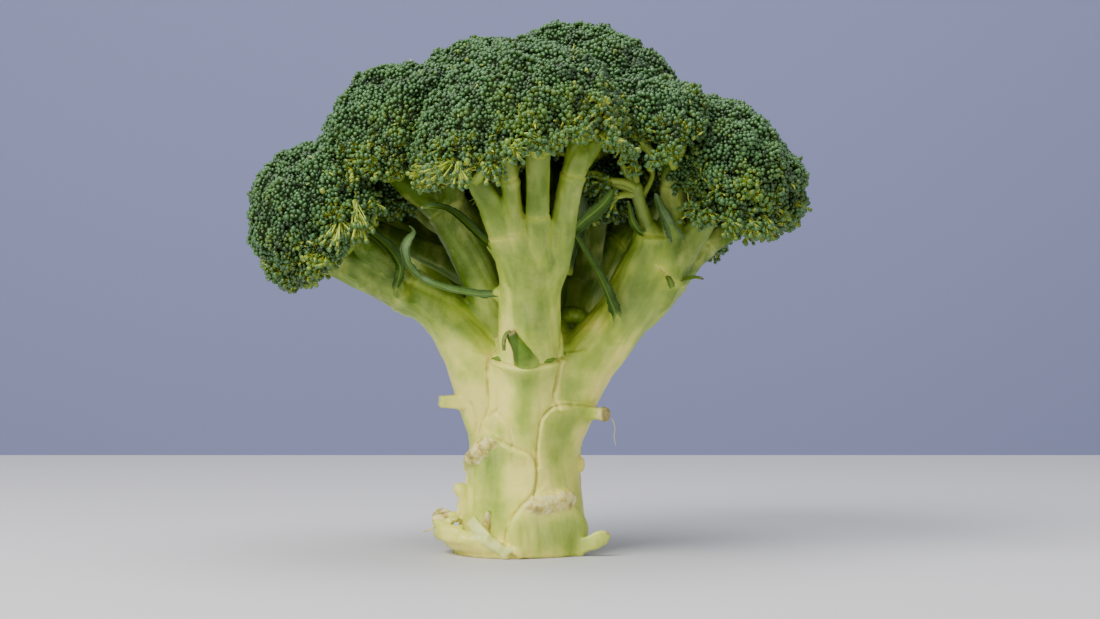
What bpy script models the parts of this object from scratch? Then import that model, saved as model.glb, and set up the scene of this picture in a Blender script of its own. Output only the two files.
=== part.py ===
"""Broccoli head standing upright on its cut stalk.

Metres, +Z up, front towards -Y, origin at the centre of the cut base.
Numbers in the tables below are millimetres; MM turns them into metres.
"""

import math

import bmesh
import bpy
from mathutils import Vector, noise

MM = 0.001

# ---------------------------------------------------------------- dimensions
GAP = 0.4  # clearance kept between neighbouring pieces
BASE_RADIUS = 20.6  # cut end of the stalk
STALK_SIDES_RES = 6  # 4 + 2 * 6 = 16 sides
BRANCH_SIDES_RES = 4  # 12 sides
FLORET_SEGMENTS = 28
FLORET_RINGS = 16
EDGE_SHARPNESS = 9.0  # higher is a sharper rim on a bud head
LEAF_THICKNESS = 1.1

# Stalk centre line and radius, from the cut end up: (x, y, z, radius)
STALK = [
    (0.0, 0.0, 0.0, BASE_RADIUS),
    (0.0, 0.0, 6.0, 21.8),
    (0.4, 0.0, 14.0, 21.6),
    (0.2, 0.0, 23.0, 20.2),
    (0.2, 0.0, 33.0, 19.8),
    (0.8, 0.0, 42.0, 21.6),
    (1.2, 0.0, 50.0, 23.6),
    (0.8, 0.0, 57.0, 24.6),
    (0.6, 1.0, 63.0, 23.0),
    (0.5, 2.0, 68.0, 18.5),
    (0.4, 2.0, 71.5, 11.0),
]

# Each branch: its main run, then its forks. Points are (x, y, z, radius).
BRANCHES = {
    "branch_front": [
        [(0.0, -9.0, 52.0, 11.5), (0.5, -15.5, 66.0, 11.2), (1.0, -19.5, 80.0, 10.8),
         (1.5, -24.0, 94.0, 11.4), (1.8, -28.0, 105.0, 12.4), (1.5, -31.0, 114.0, 12.0), (1.0, -33.0, 126.0, 10.0)],
        [(-2.5, -29.0, 100.0, 7.0), (-9.5, -36.0, 110.0, 6.0), (-18.5, -43.0, 121.0, 5.0), (-23.0, -46.0, 130.0, 4.6)],
        [(0.0, -33.0, 104.0, 5.4), (-3.5, -41.0, 116.0, 4.6), (-6.0, -46.0, 130.0, 4.6)],
        [(4.5, -32.0, 104.0, 5.6), (5.0, -41.0, 116.0, 5.0), (5.6, -45.0, 132.0, 5.0)],
        [(8.0, -29.0, 100.0, 6.0), (12.5, -35.0, 112.0, 5.4), (17.5, -40.0, 124.0, 5.2), (23.0, -42.0, 136.0, 4.6)],
    ],
    "branch_right": [
        [(13.0, -5.0, 52.0, 13.2), (20.5, -6.5, 64.0, 11.8), (29.0, -8.0, 76.0, 10.4),
         (38.0, -9.0, 86.0, 9.4), (46.0, -9.5, 94.5, 9.4), (53.0, -10.0, 102.0, 9.0), (59.0, -10.0, 109.0, 8.0), (64.0, -10.0, 118.0, 7.0)],
        [(52.0, -10.5, 99.0, 6.0), (62.0, -11.0, 103.0, 5.0), (72.0, -11.0, 108.0, 4.4), (78.0, -11.0, 114.0, 4.2)],
    ],
    "branch_inner_right": [
        [(40.0, -13.0, 92.0, 6.4), (40.5, -16.5, 102.0, 6.0), (38.0, -20.0, 113.0, 4.6), (36.5, -22.0, 124.0, 4.2), (36.0, -23.0, 134.0, 3.8)],
        [(43.0, -14.5, 98.0, 5.6), (48.0, -17.5, 110.0, 5.4), (50.5, -19.0, 122.0, 5.2), (51.5, -19.0, 134.0, 5.0)],
    ],
    "branch_far_left": [
        [(-12.5, -5.0, 54.0, 13.2), (-20.0, -7.0, 68.0, 11.6), (-28.5, -8.5, 80.5, 9.8),
         (-38.5, -10.0, 88.5, 8.6), (-48.5, -11.0, 94.0, 7.6), (-58.0, -12.0, 99.0, 7.0), (-67.0, -13.0, 102.5, 6.4), (-75.0, -14.0, 107.0, 5.4)],
        [(-48.0, -12.0, 96.0, 6.0), (-55.0, -15.0, 103.0, 5.2), (-61.0, -17.0, 112.0, 4.6)],
    ],
    "branch_left": [
        [(-7.0, -4.0, 60.0, 8.5), (-12.5, -7.5, 76.0, 7.4), (-18.5, -9.5, 90.0, 7.0),
         (-27.0, -12.0, 104.0, 7.2), (-36.0, -14.0, 117.0, 8.0), (-43.0, -14.0, 130.0, 7.0)],
    ],
    "branch_top": [
        [(1.0, 4.0, 58.0, 11.5), (2.0, 7.0, 80.0, 10.5), (4.0, 10.0, 100.0, 10.5), (5.0, 13.0, 118.0, 11.5), (5.0, 15.0, 134.0, 11.0)],
        [(5.0, 12.0, 108.0, 8.0), (14.0, 13.0, 124.0, 7.2), (22.0, 14.0, 140.0, 6.4)],
        [(3.0, 13.0, 108.0, 8.0), (-6.0, 17.0, 124.0, 7.0), (-13.0, 21.0, 138.0, 6.4)],
    ],
    "branch_back_right": [
        [(9.0, 6.0, 56.0, 11.5), (17.0, 14.0, 72.0, 9.8), (24.0, 22.0, 86.0, 9.0), (31.0, 29.0, 99.0, 9.0), (38.0, 35.0, 111.0, 9.0), (43.0, 38.0, 120.0, 8.0)],
    ],
    "branch_back_left": [
        [(-9.0, 8.0, 56.0, 11.5), (-18.0, 18.0, 74.0, 9.6), (-28.0, 27.0, 90.0, 8.6), (-38.0, 33.0, 105.0, 8.6), (-45.0, 36.0, 120.0, 8.0)],
    ],
    "branch_back": [
        [(0.0, 11.0, 54.0, 12.5), (1.0, 25.0, 74.0, 10.0), (2.0, 38.0, 92.0, 9.0), (2.0, 47.0, 108.0, 9.0), (2.0, 52.0, 121.0, 8.0)],
    ],
}

# Bud heads: centre, half width, half height, how far the underside lies below
# the centre, and the direction that the dome faces.
LOBES = {
    "floret_front": ((0.0, -32.0, 131.5), 39.0, 36.0, 4.5, (-0.22, -0.16, 1.0)),
    "floret_left_center": ((-40.0, -14.0, 128.0), 31.0, 32.0, 8.0, (-0.45, -0.25, 1.0)),
    "floret_left": ((-66.0, -14.0, 113.5), 27.5, 26.0, 7.0, (-1.0, -0.22, 0.75)),
    "floret_right": ((61.0, -9.0, 121.0), 33.5, 32.0, 6.0, (0.55, -0.15, 1.0)),
    "floret_inner_right": ((41.0, -22.0, 134.0), 24.0, 22.5, 7.0, (0.20, -0.35, 1.0)),
    "floret_top_right": ((24.0, 14.0, 148.5), 32.0, 32.5, 8.0, (0.15, 0.0, 1.0)),
    "floret_top_left": ((-12.0, 21.0, 145.5), 30.0, 30.0, 9.0, (-0.10, 0.15, 1.0)),
    "floret_back_left": ((-49.0, 35.0, 126.0), 33.0, 32.5, 8.0, (-0.60, 0.45, 1.0)),
    "floret_back": ((2.0, 52.0, 128.0), 33.0, 32.0, 8.0, (0.0, 0.60, 1.0)),
    "floret_back_right": ((47.0, 37.0, 125.0), 33.5, 32.5, 8.0, (0.60, 0.50, 1.0)),
}

# Small leaves and bracts: points from root to tip, widths, the way that the
# flat of the blade looks, and how strongly it folds along its midrib.
LEAVES = {
    "leaf_left_curled": ([(-10.0, -19.0, 86.5), (-24.5, -23.0, 85.5), (-34.5, -24.5, 91.0), (-39.5, -25.5, 99.5), (-38.5, -27.0, 108.0)],
                         (5.0, 6.5, 6.0, 5.5, 2.5), (0.2, -0.5, 0.8), 0.25),
    "leaf_left_upper": ([(-8.5, -23.0, 102.0), (-19.5, -26.5, 109.0), (-28.0, -27.5, 114.0), (-34.0, -27.5, 114.0)],
                        (4.5, 5.5, 4.5, 2.0), (-0.2, -0.6, 0.8), 0.3),
    "leaf_far_left": ([(-42.0, -18.0, 87.5), (-41.5, -20.5, 95.0), (-46.5, -20.5, 102.0), (-53.0, -19.5, 107.0)],
                      (4.0, 6.0, 5.0, 2.0), (0.2, -1.0, 0.3), 0.3),
    "leaf_right_upper": ([(11.0, -22.0, 100.0), (20.5, -23.5, 111.5), (25.0, -24.5, 117.0), (28.0, -25.0, 121.5)],
                         (4.5, 6.5, 5.0, 2.5), (0.5, -0.8, 0.0), 0.3),
    "leaf_right_lower": ([(29.5, -16.5, 79.0), (26.0, -20.5, 88.0), (22.5, -24.0, 95.0), (16.5, -26.5, 103.0)],
                         (5.0, 6.5, 5.0, 2.5), (0.7, -0.8, 0.3), 0.3),
    "leaf_behind": ([(15.0, -13.0, 96.0), (18.5, -14.0, 108.0), (19.5, -15.0, 118.0), (18.5, -16.0, 123.5)],
                    (4.5, 6.5, 7.0, 2.5), (0.0, -1.0, 0.0), 0.2),
    "leaf_twisted": ([(37.5, -19.5, 103.0), (35.0, -22.5, 109.5), (33.0, -24.0, 115.5), (32.0, -24.0, 119.0)],
                     (3.0, 3.5, 2.5, 1.5), (0.6, -0.8, 0.1), 0.3),
    "leaf_blunt": ([(45.0, -18.5, 104.5), (44.3, -22.0, 110.5), (42.5, -23.5, 116.0), (41.8, -24.0, 119.5)],
                   (4.0, 5.0, 4.0, 2.5), (0.2, -1.0, 0.2), 0.25),
    "leaf_back_left": ([(-13.0, 30.0, 76.0), (-12.0, 37.0, 87.0), (-15.0, 40.0, 98.0), (-21.0, 42.0, 106.0)],
                       (5.0, 7.5, 6.5, 2.5), (0.2, 1.0, 0.2), 0.3),
    "leaf_back_right": ([(16.0, 28.0, 78.0), (16.0, 35.0, 88.0), (20.0, 40.0, 97.0), (22.0, 43.0, 104.0)],
                        (4.5, 6.5, 5.5, 2.5), (0.0, 1.0, 0.2), 0.3),
    "bract_stalk": ([(2.0, -25.0, 61.0), (1.2, -28.8, 66.0), (-1.5, -30.3, 70.5), (-3.5, -30.8, 74.5)],
                    (13.0, 10.0, 6.0, 3.2), (0.0, -1.0, 0.0), 0.1),
    "bract_right_inner": ([(46.0, -17.0, 91.0), (45.6, -20.4, 92.0), (44.6, -22.4, 93.6)],
                          (3.6, 3.4, 1.8), (0.3, -0.4, -0.8), 0.2),
    "bract_right_outer": ([(52.0, -13.5, 91.5), (57.2, -14.0, 91.0), (61.5, -14.3, 92.6)],
                          (3.2, 2.8, 1.5), (0.1, -0.5, -0.8), 0.2),
}

# Stubs of the big leaves: root, tip, widths, thicknesses and the direction
# that the flat side looks.
STUBS = {
    "stub_left_high": ([(-19.0, -7.0, 50.0), (-25.0, -8.5, 50.8), (-29.3, -9.5, 51.0)], (15.0, 12.0, 10.0), 4.2, (0.1, 0.1, 1.0)),
    "stub_right_high": ([(19.0, -8.0, 46.0), (24.5, -9.5, 47.2), (28.6, -10.5, 47.4)], (15.0, 11.0, 8.0), 4.0, (-0.1, 0.1, 1.0)),
    "stub_front_left": ([(-11.5, -14.0, 35.0), (-13.6, -18.0, 36.0), (-15.2, -21.2, 36.2)], (12.0, 11.0, 9.0), 3.8, (0.2, -0.2, 1.0)),
    "stub_left_low": ([(-19.5, -5.0, 21.0), (-22.8, -5.8, 22.4), (-25.6, -6.6, 23.4)], (8.0, 7.0, 5.0), 4.0, (0.3, 0.0, 1.0)),
    "stub_front_right": ([(9.0, -17.0, 17.6), (10.6, -20.4, 18.6), (11.8, -23.4, 18.8)], (20.0, 18.0, 15.0), 5.0, (0.0, -0.2, 1.0)),
    "stub_right_mid": ([(17.0, -5.0, 29.0), (19.4, -5.8, 30.4), (21.8, -6.6, 31.0)], (6.0, 5.0, 4.0), 3.4, (-0.3, 0.0, 1.0)),
    "stub_base_left": ([(-14.0, -13.0, 4.6), (-20.0, -16.5, 5.6), (-26.0, -19.0, 9.2)], (22.0, 19.0, 11.0), 4.0, (0.45, 0.2, 1.0)),
    "stub_base_right": ([(17.0, -9.0, 2.8), (23.0, -11.5, 3.8), (28.4, -13.0, 6.2)], (12.0, 10.0, 7.0), 3.2, (-0.4, 0.2, 1.0)),
    "stub_back_left": ([(-9.0, 17.0, 26.0), (-11.0, 21.0, 27.4), (-12.2, 24.2, 28.0)], (15.0, 13.0, 10.0), 4.0, (0.1, -0.2, 1.0)),
    "stub_back_right": ([(12.0, 16.0, 39.0), (14.5, 20.0, 40.6), (16.2, 23.4, 41.4)], (14.0, 12.0, 9.0), 4.0, (-0.1, -0.2, 1.0)),
    "stub_back_low": ([(7.0, 18.0, 8.0), (8.0, 22.0, 9.2), (8.8, 25.4, 10.6)], (17.0, 15.0, 12.0), 4.2, (0.0, -0.3, 1.0)),
}

# ----------------------------------------------------------------- materials
COLOURS = {
    "stalk_flesh": ((0.56, 0.62, 0.27, 1.0), 0.42),
    "branch_skin": ((0.33, 0.44, 0.13, 1.0), 0.42),
    "bud_green": ((0.045, 0.11, 0.035, 1.0), 0.68),
    "leaf_green": ((0.07, 0.17, 0.035, 1.0), 0.50),
    "cut_flesh": ((0.62, 0.64, 0.36, 1.0), 0.55),
}


def material(name):
    found = bpy.data.materials.get(name)
    if found:
        return found
    colour, roughness = COLOURS[name]
    made = bpy.data.materials.new(name)
    made.use_nodes = True
    made.diffuse_color = colour
    shader = made.node_tree.nodes["Principled BSDF"]
    shader.inputs["Base Color"].default_value = colour
    shader.inputs["Roughness"].default_value = roughness
    shader.inputs["Metallic"].default_value = 0.0
    return made


# ------------------------------------------------------------------- helpers
def clear_scene():
    for obj in list(bpy.data.objects):
        bpy.data.objects.remove(obj, do_unlink=True)


def new_collection(name):
    made = bpy.data.collections.new(name)
    bpy.context.scene.collection.children.link(made)
    return made


def smooth_path(points, steps):
    """Catmull-Rom points through the given ones, radius or width included."""
    rows = [Vector(p) for p in points]
    ends = [rows[0] * 2 - rows[1]] + rows + [rows[-1] * 2 - rows[-2]]
    found = []
    for i in range(1, len(ends) - 2):
        a, b, c, d = ends[i - 1 : i + 3]
        for k in range(steps):
            t = k / steps
            found.append(
                0.5
                * (
                    2 * b
                    + (c - a) * t
                    + (2 * a - 5 * b + 4 * c - d) * t * t
                    + (3 * b - a - 3 * c + d) * t * t * t
                )
            )
    found.append(rows[-1].copy())
    return found


def weld_and_orient(mesh, distance=1e-6):
    bm = bmesh.new()
    bm.from_mesh(mesh)
    bmesh.ops.remove_doubles(bm, verts=bm.verts, dist=distance)
    bmesh.ops.recalc_face_normals(bm, faces=bm.faces)
    bm.to_mesh(mesh)
    bm.free()


def baked(obj):
    """The object as a plain mesh with its modifiers applied."""
    bpy.context.view_layer.update()
    graph = bpy.context.evaluated_depsgraph_get()
    mesh = bpy.data.meshes.new_from_object(obj.evaluated_get(graph))
    weld_and_orient(mesh)
    made = bpy.data.objects.new(obj.name + "_mesh", mesh)
    made.matrix_world = obj.matrix_world.copy()
    for owner in obj.users_collection:
        owner.objects.link(made)
    name = obj.name
    bpy.data.objects.remove(obj, do_unlink=True)
    made.name = name
    return made


def tube(name, points, grow, sides_res, steps, collection):
    """A round, tapering stem: a curve with a bevel and filled caps, made a mesh."""
    curve = bpy.data.curves.new(name, "CURVE")
    curve.dimensions = "3D"
    curve.bevel_depth = MM
    curve.bevel_resolution = sides_res
    curve.use_fill_caps = True
    spline = curve.splines.new("POLY")
    path = smooth_path(points, steps)
    if grow:
        for end, inner in ((path[0], path[1]), (path[-1], path[-2])):
            out = (end.to_3d() - inner.to_3d()).normalized() * grow
            end[0], end[1], end[2] = end[0] + out.x, end[1] + out.y, end[2] + out.z
    spline.points.add(len(path) - 1)
    for point, row in zip(spline.points, path):
        point.co = (row[0] * MM, row[1] * MM, row[2] * MM, 1.0)
        point.radius = row[3] + grow
    obj = bpy.data.objects.new(name, curve)
    collection.objects.link(obj)
    return baked(obj)


def add_boolean(obj, other, operation):
    cut = obj.modifiers.new(operation.lower() + "_" + other.name, "BOOLEAN")
    cut.operation = operation
    cut.solver = "EXACT"
    cut.object = other


def keep_largest(obj):
    """Drops crumbs that a cut leaves away from the main body."""
    bm = bmesh.new()
    bm.from_mesh(obj.data)
    left, islands = set(bm.verts), []
    while left:
        stack, island = [left.pop()], set()
        while stack:
            vert = stack.pop()
            island.add(vert)
            for edge in vert.link_edges:
                other = edge.other_vert(vert)
                if other in left:
                    left.remove(other)
                    stack.append(other)
        islands.append(island)
    islands.sort(key=len, reverse=True)
    drop = [v for island in islands[1:] for v in island]
    if drop:
        bmesh.ops.delete(bm, geom=drop, context="VERTS")
    bmesh.ops.triangulate(bm, faces=bm.faces)
    bmesh.ops.recalc_face_normals(bm, faces=bm.faces)
    bm.to_mesh(obj.data)
    bm.free()


def finish(obj, slot, smooth=True):
    obj.data.materials.clear()
    obj.data.materials.append(material(slot))
    for face in obj.data.polygons:
        face.use_smooth = smooth


# ------------------------------------------------------------------- florets
def lobe_frame(name):
    centre, wide, high, below, facing = LOBES[name]
    return Vector(centre), wide, high, below, Vector(facing).normalized()


def lobe_planes(name):
    """Planes that part this bud head from its neighbours: (normal, distance)."""
    centre, wide, high, _, _ = lobe_frame(name)
    found = []
    for other in LOBES:
        if other == name:
            continue
        centre2, wide2, high2, _, _ = lobe_frame(other)
        way = centre2 - centre
        apart = way.length
        size, size2 = (wide + high) / 2, (wide2 + high2) / 2
        if apart > size + size2 + 4:
            continue
        share = 0.5 + (size * size - size2 * size2) / (2 * apart * apart)
        found.append((way.normalized(), share * apart - GAP / 2))
    return found


def floret(name, grow, collection, label=None):
    """A dome of buds: a sphere primitive pushed onto the dome's surface."""
    centre, wide, high, below, facing = lobe_frame(name)
    planes = lobe_planes(name)
    bm = bmesh.new()
    bmesh.ops.create_uvsphere(bm, u_segments=FLORET_SEGMENTS, v_segments=FLORET_RINGS, radius=1.0)
    turn = Vector((0, 0, 1)).rotation_difference(facing).to_matrix()
    for vert in bm.verts:
        way = (turn @ vert.co).normalized()
        along = way.dot(facing)
        reach = 1 / math.sqrt((along / high) ** 2 + (1 - along * along) / (wide * wide))
        reach += 1.1 * noise.noise((centre + way * reach) * 0.075)
        limits = [reach]
        if along < -0.01:
            limits.append(below / -along)
        for normal, distance in planes:
            toward = way.dot(normal)
            if toward > 0.01:
                limits.append(distance / toward)
        nearest = min(limits)
        reach = nearest * sum((nearest / limit) ** EDGE_SHARPNESS for limit in limits) ** (-1 / EDGE_SHARPNESS)
        vert.co = (centre + way * (reach + grow)) * MM
    bmesh.ops.recalc_face_normals(bm, faces=bm.faces)
    mesh = bpy.data.meshes.new(label or name)
    bm.to_mesh(mesh)
    bm.free()
    obj = bpy.data.objects.new(label or name, mesh)
    collection.objects.link(obj)
    return obj


# ----------------------------------------------------------- leaves and stubs
def blade(name, points, widths, thickness, looks, fold, steps, across, collection):
    """A strap along a path, with its own width at each point, given thickness."""
    path = smooth_path([(*p, w) for p, w in zip(points, widths)], steps)
    looks = Vector(looks).normalized()
    bm = bmesh.new()
    rows = []
    for i, row in enumerate(path):
        ahead = path[min(i + 1, len(path) - 1)]
        behind = path[max(i - 1, 0)]
        along = Vector(ahead[:3]) - Vector(behind[:3])
        side = along.cross(looks).normalized()
        face = side.cross(along).normalized()
        line = []
        for k in range(across + 1):
            s = 2 * k / across - 1
            spot = Vector(row[:3]) + side * (s * row[3] / 2) + face * (fold * row[3] * (abs(s) ** 1.5) / 2)
            line.append(bm.verts.new(spot * MM))
        rows.append(line)
    for low, high in zip(rows, rows[1:]):
        for k in range(across):
            bm.faces.new((low[k], low[k + 1], high[k + 1], high[k]))
    bmesh.ops.recalc_face_normals(bm, faces=bm.faces)
    mesh = bpy.data.meshes.new(name)
    bm.to_mesh(mesh)
    bm.free()
    obj = bpy.data.objects.new(name, mesh)
    collection.objects.link(obj)
    thick = obj.modifiers.new("thickness", "SOLIDIFY")
    thick.thickness = thickness * MM
    thick.offset = 0.0
    thick.use_even_offset = False
    return obj


def main():
    clear_scene()
    head = new_collection("broccoli_head")
    cutters = new_collection("cutters")
    cutters.hide_render = True

    florets = {name: floret(name, 0.0, head) for name in LOBES}
    grown_florets = {name: floret(name, GAP, cutters, "cut_" + name) for name in LOBES}
    for obj in florets.values():
        finish(obj, "bud_green")

    stalk = tube("stalk", STALK, 0.0, STALK_SIDES_RES, 1, head)
    finish(stalk, "stalk_flesh")
    grown_stalk = tube("cut_stalk", STALK, GAP, STALK_SIDES_RES, 1, cutters)

    grown = {}
    for name, runs in BRANCHES.items():
        for i, run in enumerate(runs):
            grown[name, i] = tube(f"cut_{name}_{i}", run, GAP, BRANCH_SIDES_RES, 1, cutters)

    done = []
    for name, runs in BRANCHES.items():
        obj = tube(name, runs[0], 0.0, BRANCH_SIDES_RES, 1, head)
        forks = [tube(f"fork_{name}_{i}", run, 0.0, BRANCH_SIDES_RES, 1, cutters) for i, run in enumerate(runs[1:])]
        for fork in forks:
            add_boolean(obj, fork, "UNION")
        obj = baked(obj)
        add_boolean(obj, grown_stalk, "DIFFERENCE")
        for other in done:
            for i in range(len(BRANCHES[other])):
                add_boolean(obj, grown[other, i], "DIFFERENCE")
        for other in grown_florets.values():
            add_boolean(obj, other, "DIFFERENCE")
        obj = baked(obj)
        keep_largest(obj)
        finish(obj, "branch_skin")
        done.append(name)

    for name, (points, widths, looks, fold) in LEAVES.items():
        obj = blade(name, points, widths, LEAF_THICKNESS, looks, fold, 2, 4, head)
        obj = baked(obj)
        add_boolean(obj, grown_stalk, "DIFFERENCE")
        for other in grown.values():
            add_boolean(obj, other, "DIFFERENCE")
        for other in grown_florets.values():
            add_boolean(obj, other, "DIFFERENCE")
        obj = baked(obj)
        keep_largest(obj)
        finish(obj, "leaf_green")

    for name, (points, widths, thickness, looks) in STUBS.items():
        obj = blade(name, points, widths, thickness, looks, -0.12, 2, 4, head)
        obj = baked(obj)
        add_boolean(obj, grown_stalk, "DIFFERENCE")
        for other in grown.values():
            add_boolean(obj, other, "DIFFERENCE")
        obj = baked(obj)
        keep_largest(obj)
        finish(obj, "cut_flesh")

    for obj in cutters.objects:
        obj.hide_render = True
        obj.display_type = "WIRE"


main()
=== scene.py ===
"""Looks of a broccoli head: fused stalk and branches, bud heads made of single
buds on their little stalks, small leaves, and cut leaf stubs.

Lengths in the tables are millimetres in the frame of the solids; MM turns
them into metres. +Z is up and the front is towards -Y.
"""

import math

import bpy
import numpy as np
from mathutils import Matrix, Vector, kdtree


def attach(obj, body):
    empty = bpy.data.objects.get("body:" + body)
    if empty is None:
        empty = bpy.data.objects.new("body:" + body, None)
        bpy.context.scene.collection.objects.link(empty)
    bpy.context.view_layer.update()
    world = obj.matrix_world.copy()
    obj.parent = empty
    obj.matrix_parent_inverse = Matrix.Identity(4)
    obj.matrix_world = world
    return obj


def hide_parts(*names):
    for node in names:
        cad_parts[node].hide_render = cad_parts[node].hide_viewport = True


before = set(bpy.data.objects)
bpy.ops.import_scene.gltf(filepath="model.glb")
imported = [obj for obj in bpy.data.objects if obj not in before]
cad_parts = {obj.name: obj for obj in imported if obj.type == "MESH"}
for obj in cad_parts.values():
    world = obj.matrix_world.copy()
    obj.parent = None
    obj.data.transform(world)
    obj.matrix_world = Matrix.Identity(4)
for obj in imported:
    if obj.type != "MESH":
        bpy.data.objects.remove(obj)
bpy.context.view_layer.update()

MM = 0.001
rng = np.random.default_rng(20417)


# =====================================================================
# Noise on arrays of points
# =====================================================================
def _hash(ix, iy, iz, seed):
    h = (ix.astype(np.int64) * 374761393 + iy.astype(np.int64) * 668265263 + iz.astype(np.int64) * 2147483647 + seed * 974634777) & 0xFFFFFFFF
    h = ((h ^ (h >> 13)) * 1274126177) & 0xFFFFFFFF
    h = ((h ^ (h >> 16)) * 2246822519) & 0xFFFFFFFF
    h = h ^ (h >> 15)
    return (h & 0xFFFFFF).astype(np.float32) / float(0xFFFFFF) * 2 - 1


def vnoise(p, seed=0):
    """Smooth value noise, about -1 to 1, one cell a unit."""
    f = np.floor(p)
    t = (p - f).astype(np.float32)
    t = t * t * t * (t * (t * 6 - 15) + 10)
    i = f.astype(np.int64)
    out = 0.0
    for dx in (0, 1):
        wx = t[:, 0] if dx else 1 - t[:, 0]
        for dy in (0, 1):
            wy = t[:, 1] if dy else 1 - t[:, 1]
            for dz in (0, 1):
                wz = t[:, 2] if dz else 1 - t[:, 2]
                out = out + wx * wy * wz * _hash(i[:, 0] + dx, i[:, 1] + dy, i[:, 2] + dz, seed)
    return out


def fbm(p, octaves=3, seed=0):
    total, amp, norm = 0.0, 1.0, 0.0
    for k in range(octaves):
        total = total + amp * vnoise(p * (2.03 ** k) + 17.3 * k, seed + k)
        norm += amp
        amp *= 0.5
    return total / norm


def worley(p, seed=0):
    """Distance to the nearest scattered point and the way to it, one point a unit cell."""
    f = np.floor(p)
    i = f.astype(np.int64)
    best = np.full(len(p), 1e9)
    way = np.zeros_like(p)
    for dx in (-1, 0, 1):
        for dy in (-1, 0, 1):
            for dz in (-1, 0, 1):
                cell = i + np.array([dx, dy, dz])
                spot = np.stack([_hash(cell[:, 0], cell[:, 1], cell[:, 2], seed + k) * 0.42 + 0.5 for k in range(3)], 1)
                to = cell + spot - p
                d = (to * to).sum(1)
                closer = d < best
                best = np.where(closer, d, best)
                way = np.where(closer[:, None], to, way)
    return np.sqrt(best), way


def smoothstep(a, b, x):
    t = np.clip((x - a) / (b - a), 0, 1)
    return t * t * (3 - 2 * t)


def unit(v):
    v = np.asarray(v, float)
    return v / np.maximum(np.linalg.norm(v, axis=-1, keepdims=True), 1e-9)


def catmull(points, spacing):
    """Smooth points through the given rows, about one each spacing."""
    rows = np.asarray(points, float)
    ends = np.vstack([rows[0] * 2 - rows[1], rows, rows[-1] * 2 - rows[-2]])
    out = []
    for i in range(1, len(ends) - 2):
        a, b, c, d = ends[i - 1 : i + 3]
        n = max(1, int(round(np.linalg.norm((c - b)[:3]) / spacing)))
        for k in range(n):
            t = k / n
            out.append(0.5 * (2 * b + (c - a) * t + (2 * a - 5 * b + 4 * c - d) * t * t + (3 * b - a - 3 * c + d) * t ** 3))
    out.append(rows[-1])
    return np.array(out)


# =====================================================================
# Building meshes from arrays
# =====================================================================
class Pile:
    """Gathers vertices, faces and per-vertex values, then makes one mesh."""

    def __init__(self, names):
        self.names = names
        self.co, self.loops, self.totals, self.mats = [], [], [], []
        self.values = {n: [] for n in names}
        self.count = 0

    def add(self, co, faces, mat, **values):
        """faces is a list of integer arrays, each (n, corners)."""
        co = np.asarray(co, np.float32).reshape(-1, 3)
        for f in faces:
            f = np.asarray(f, np.int64)
            if not len(f):
                continue
            self.loops.append((f + self.count).reshape(-1))
            self.totals.append(np.full(len(f), f.shape[1], np.int64))
            self.mats.append(np.full(len(f), mat, np.int32))
        self.co.append(co)
        for n in self.names:
            v = values.get(n, 0.0)
            self.values[n].append(np.broadcast_to(np.asarray(v, np.float32), (len(co),)))
        self.count += len(co)

    def object(self, name, materials):
        co = np.concatenate(self.co) * MM
        loops = np.concatenate(self.loops)
        totals = np.concatenate(self.totals)
        starts = np.concatenate([[0], np.cumsum(totals)[:-1]])
        me = bpy.data.meshes.new(name)
        me.vertices.add(len(co))
        me.vertices.foreach_set("co", co.astype(np.float32).reshape(-1))
        me.loops.add(len(loops))
        me.loops.foreach_set("vertex_index", loops.astype(np.int32))
        me.polygons.add(len(totals))
        me.polygons.foreach_set("loop_start", starts.astype(np.int32))
        me.polygons.foreach_set("material_index", np.concatenate(self.mats))
        me.polygons.foreach_set("use_smooth", np.ones(len(totals), bool))
        me.update(calc_edges=True)
        for n in self.names:
            a = me.attributes.new(n, "FLOAT", "POINT")
            a.data.foreach_set("value", np.concatenate(self.values[n]).astype(np.float32))
        for m in materials:
            me.materials.append(m)
        me.validate()
        obj = bpy.data.objects.new(name, me)
        bpy.context.scene.collection.objects.link(obj)
        return obj


def tube_mesh(path, sides, cap=True):
    """Vertices, faces and the place along it of a round tube on rows (x, y, z, r)."""
    path = np.asarray(path, float)
    n = len(path)
    tangent = np.gradient(path[:, :3], axis=0)
    tangent = unit(tangent)
    ref = np.array([0.31, 0.87, 0.38])
    side = np.zeros((n, 3))
    s = np.cross(tangent[0], ref)
    for i in range(n):
        s = s - tangent[i] * np.dot(s, tangent[i])
        s = s / max(np.linalg.norm(s), 1e-9)
        side[i] = s
    other = np.cross(tangent, side)
    ang = np.arange(sides) / sides * 2 * np.pi
    ring = side[:, None] * np.cos(ang)[None, :, None] + other[:, None] * np.sin(ang)[None, :, None]
    co = (path[:, None, :3] + ring * path[:, None, 3:4]).reshape(-1, 3)
    i = np.arange(n - 1)[:, None] * sides
    k = np.arange(sides)[None, :]
    k2 = (k + 1) % sides
    quads = np.stack([i + k, i + k2, i + sides + k2, i + sides + k], -1).reshape(-1, 4)
    along = np.repeat(np.linspace(0, 1, n), sides)
    faces = [quads]
    if cap:
        co = np.vstack([co, path[0, :3], path[-1, :3]])
        a, b = n * sides, n * sides + 1
        k = np.arange(sides)
        k2 = (k + 1) % sides
        last = (n - 1) * sides
        faces.append(np.stack([np.full(sides, a), k2, k], -1))
        faces.append(np.stack([np.full(sides, b), last + k, last + k2], -1))
        along = np.concatenate([along, [0, 1]])
    return co, faces, along


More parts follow.
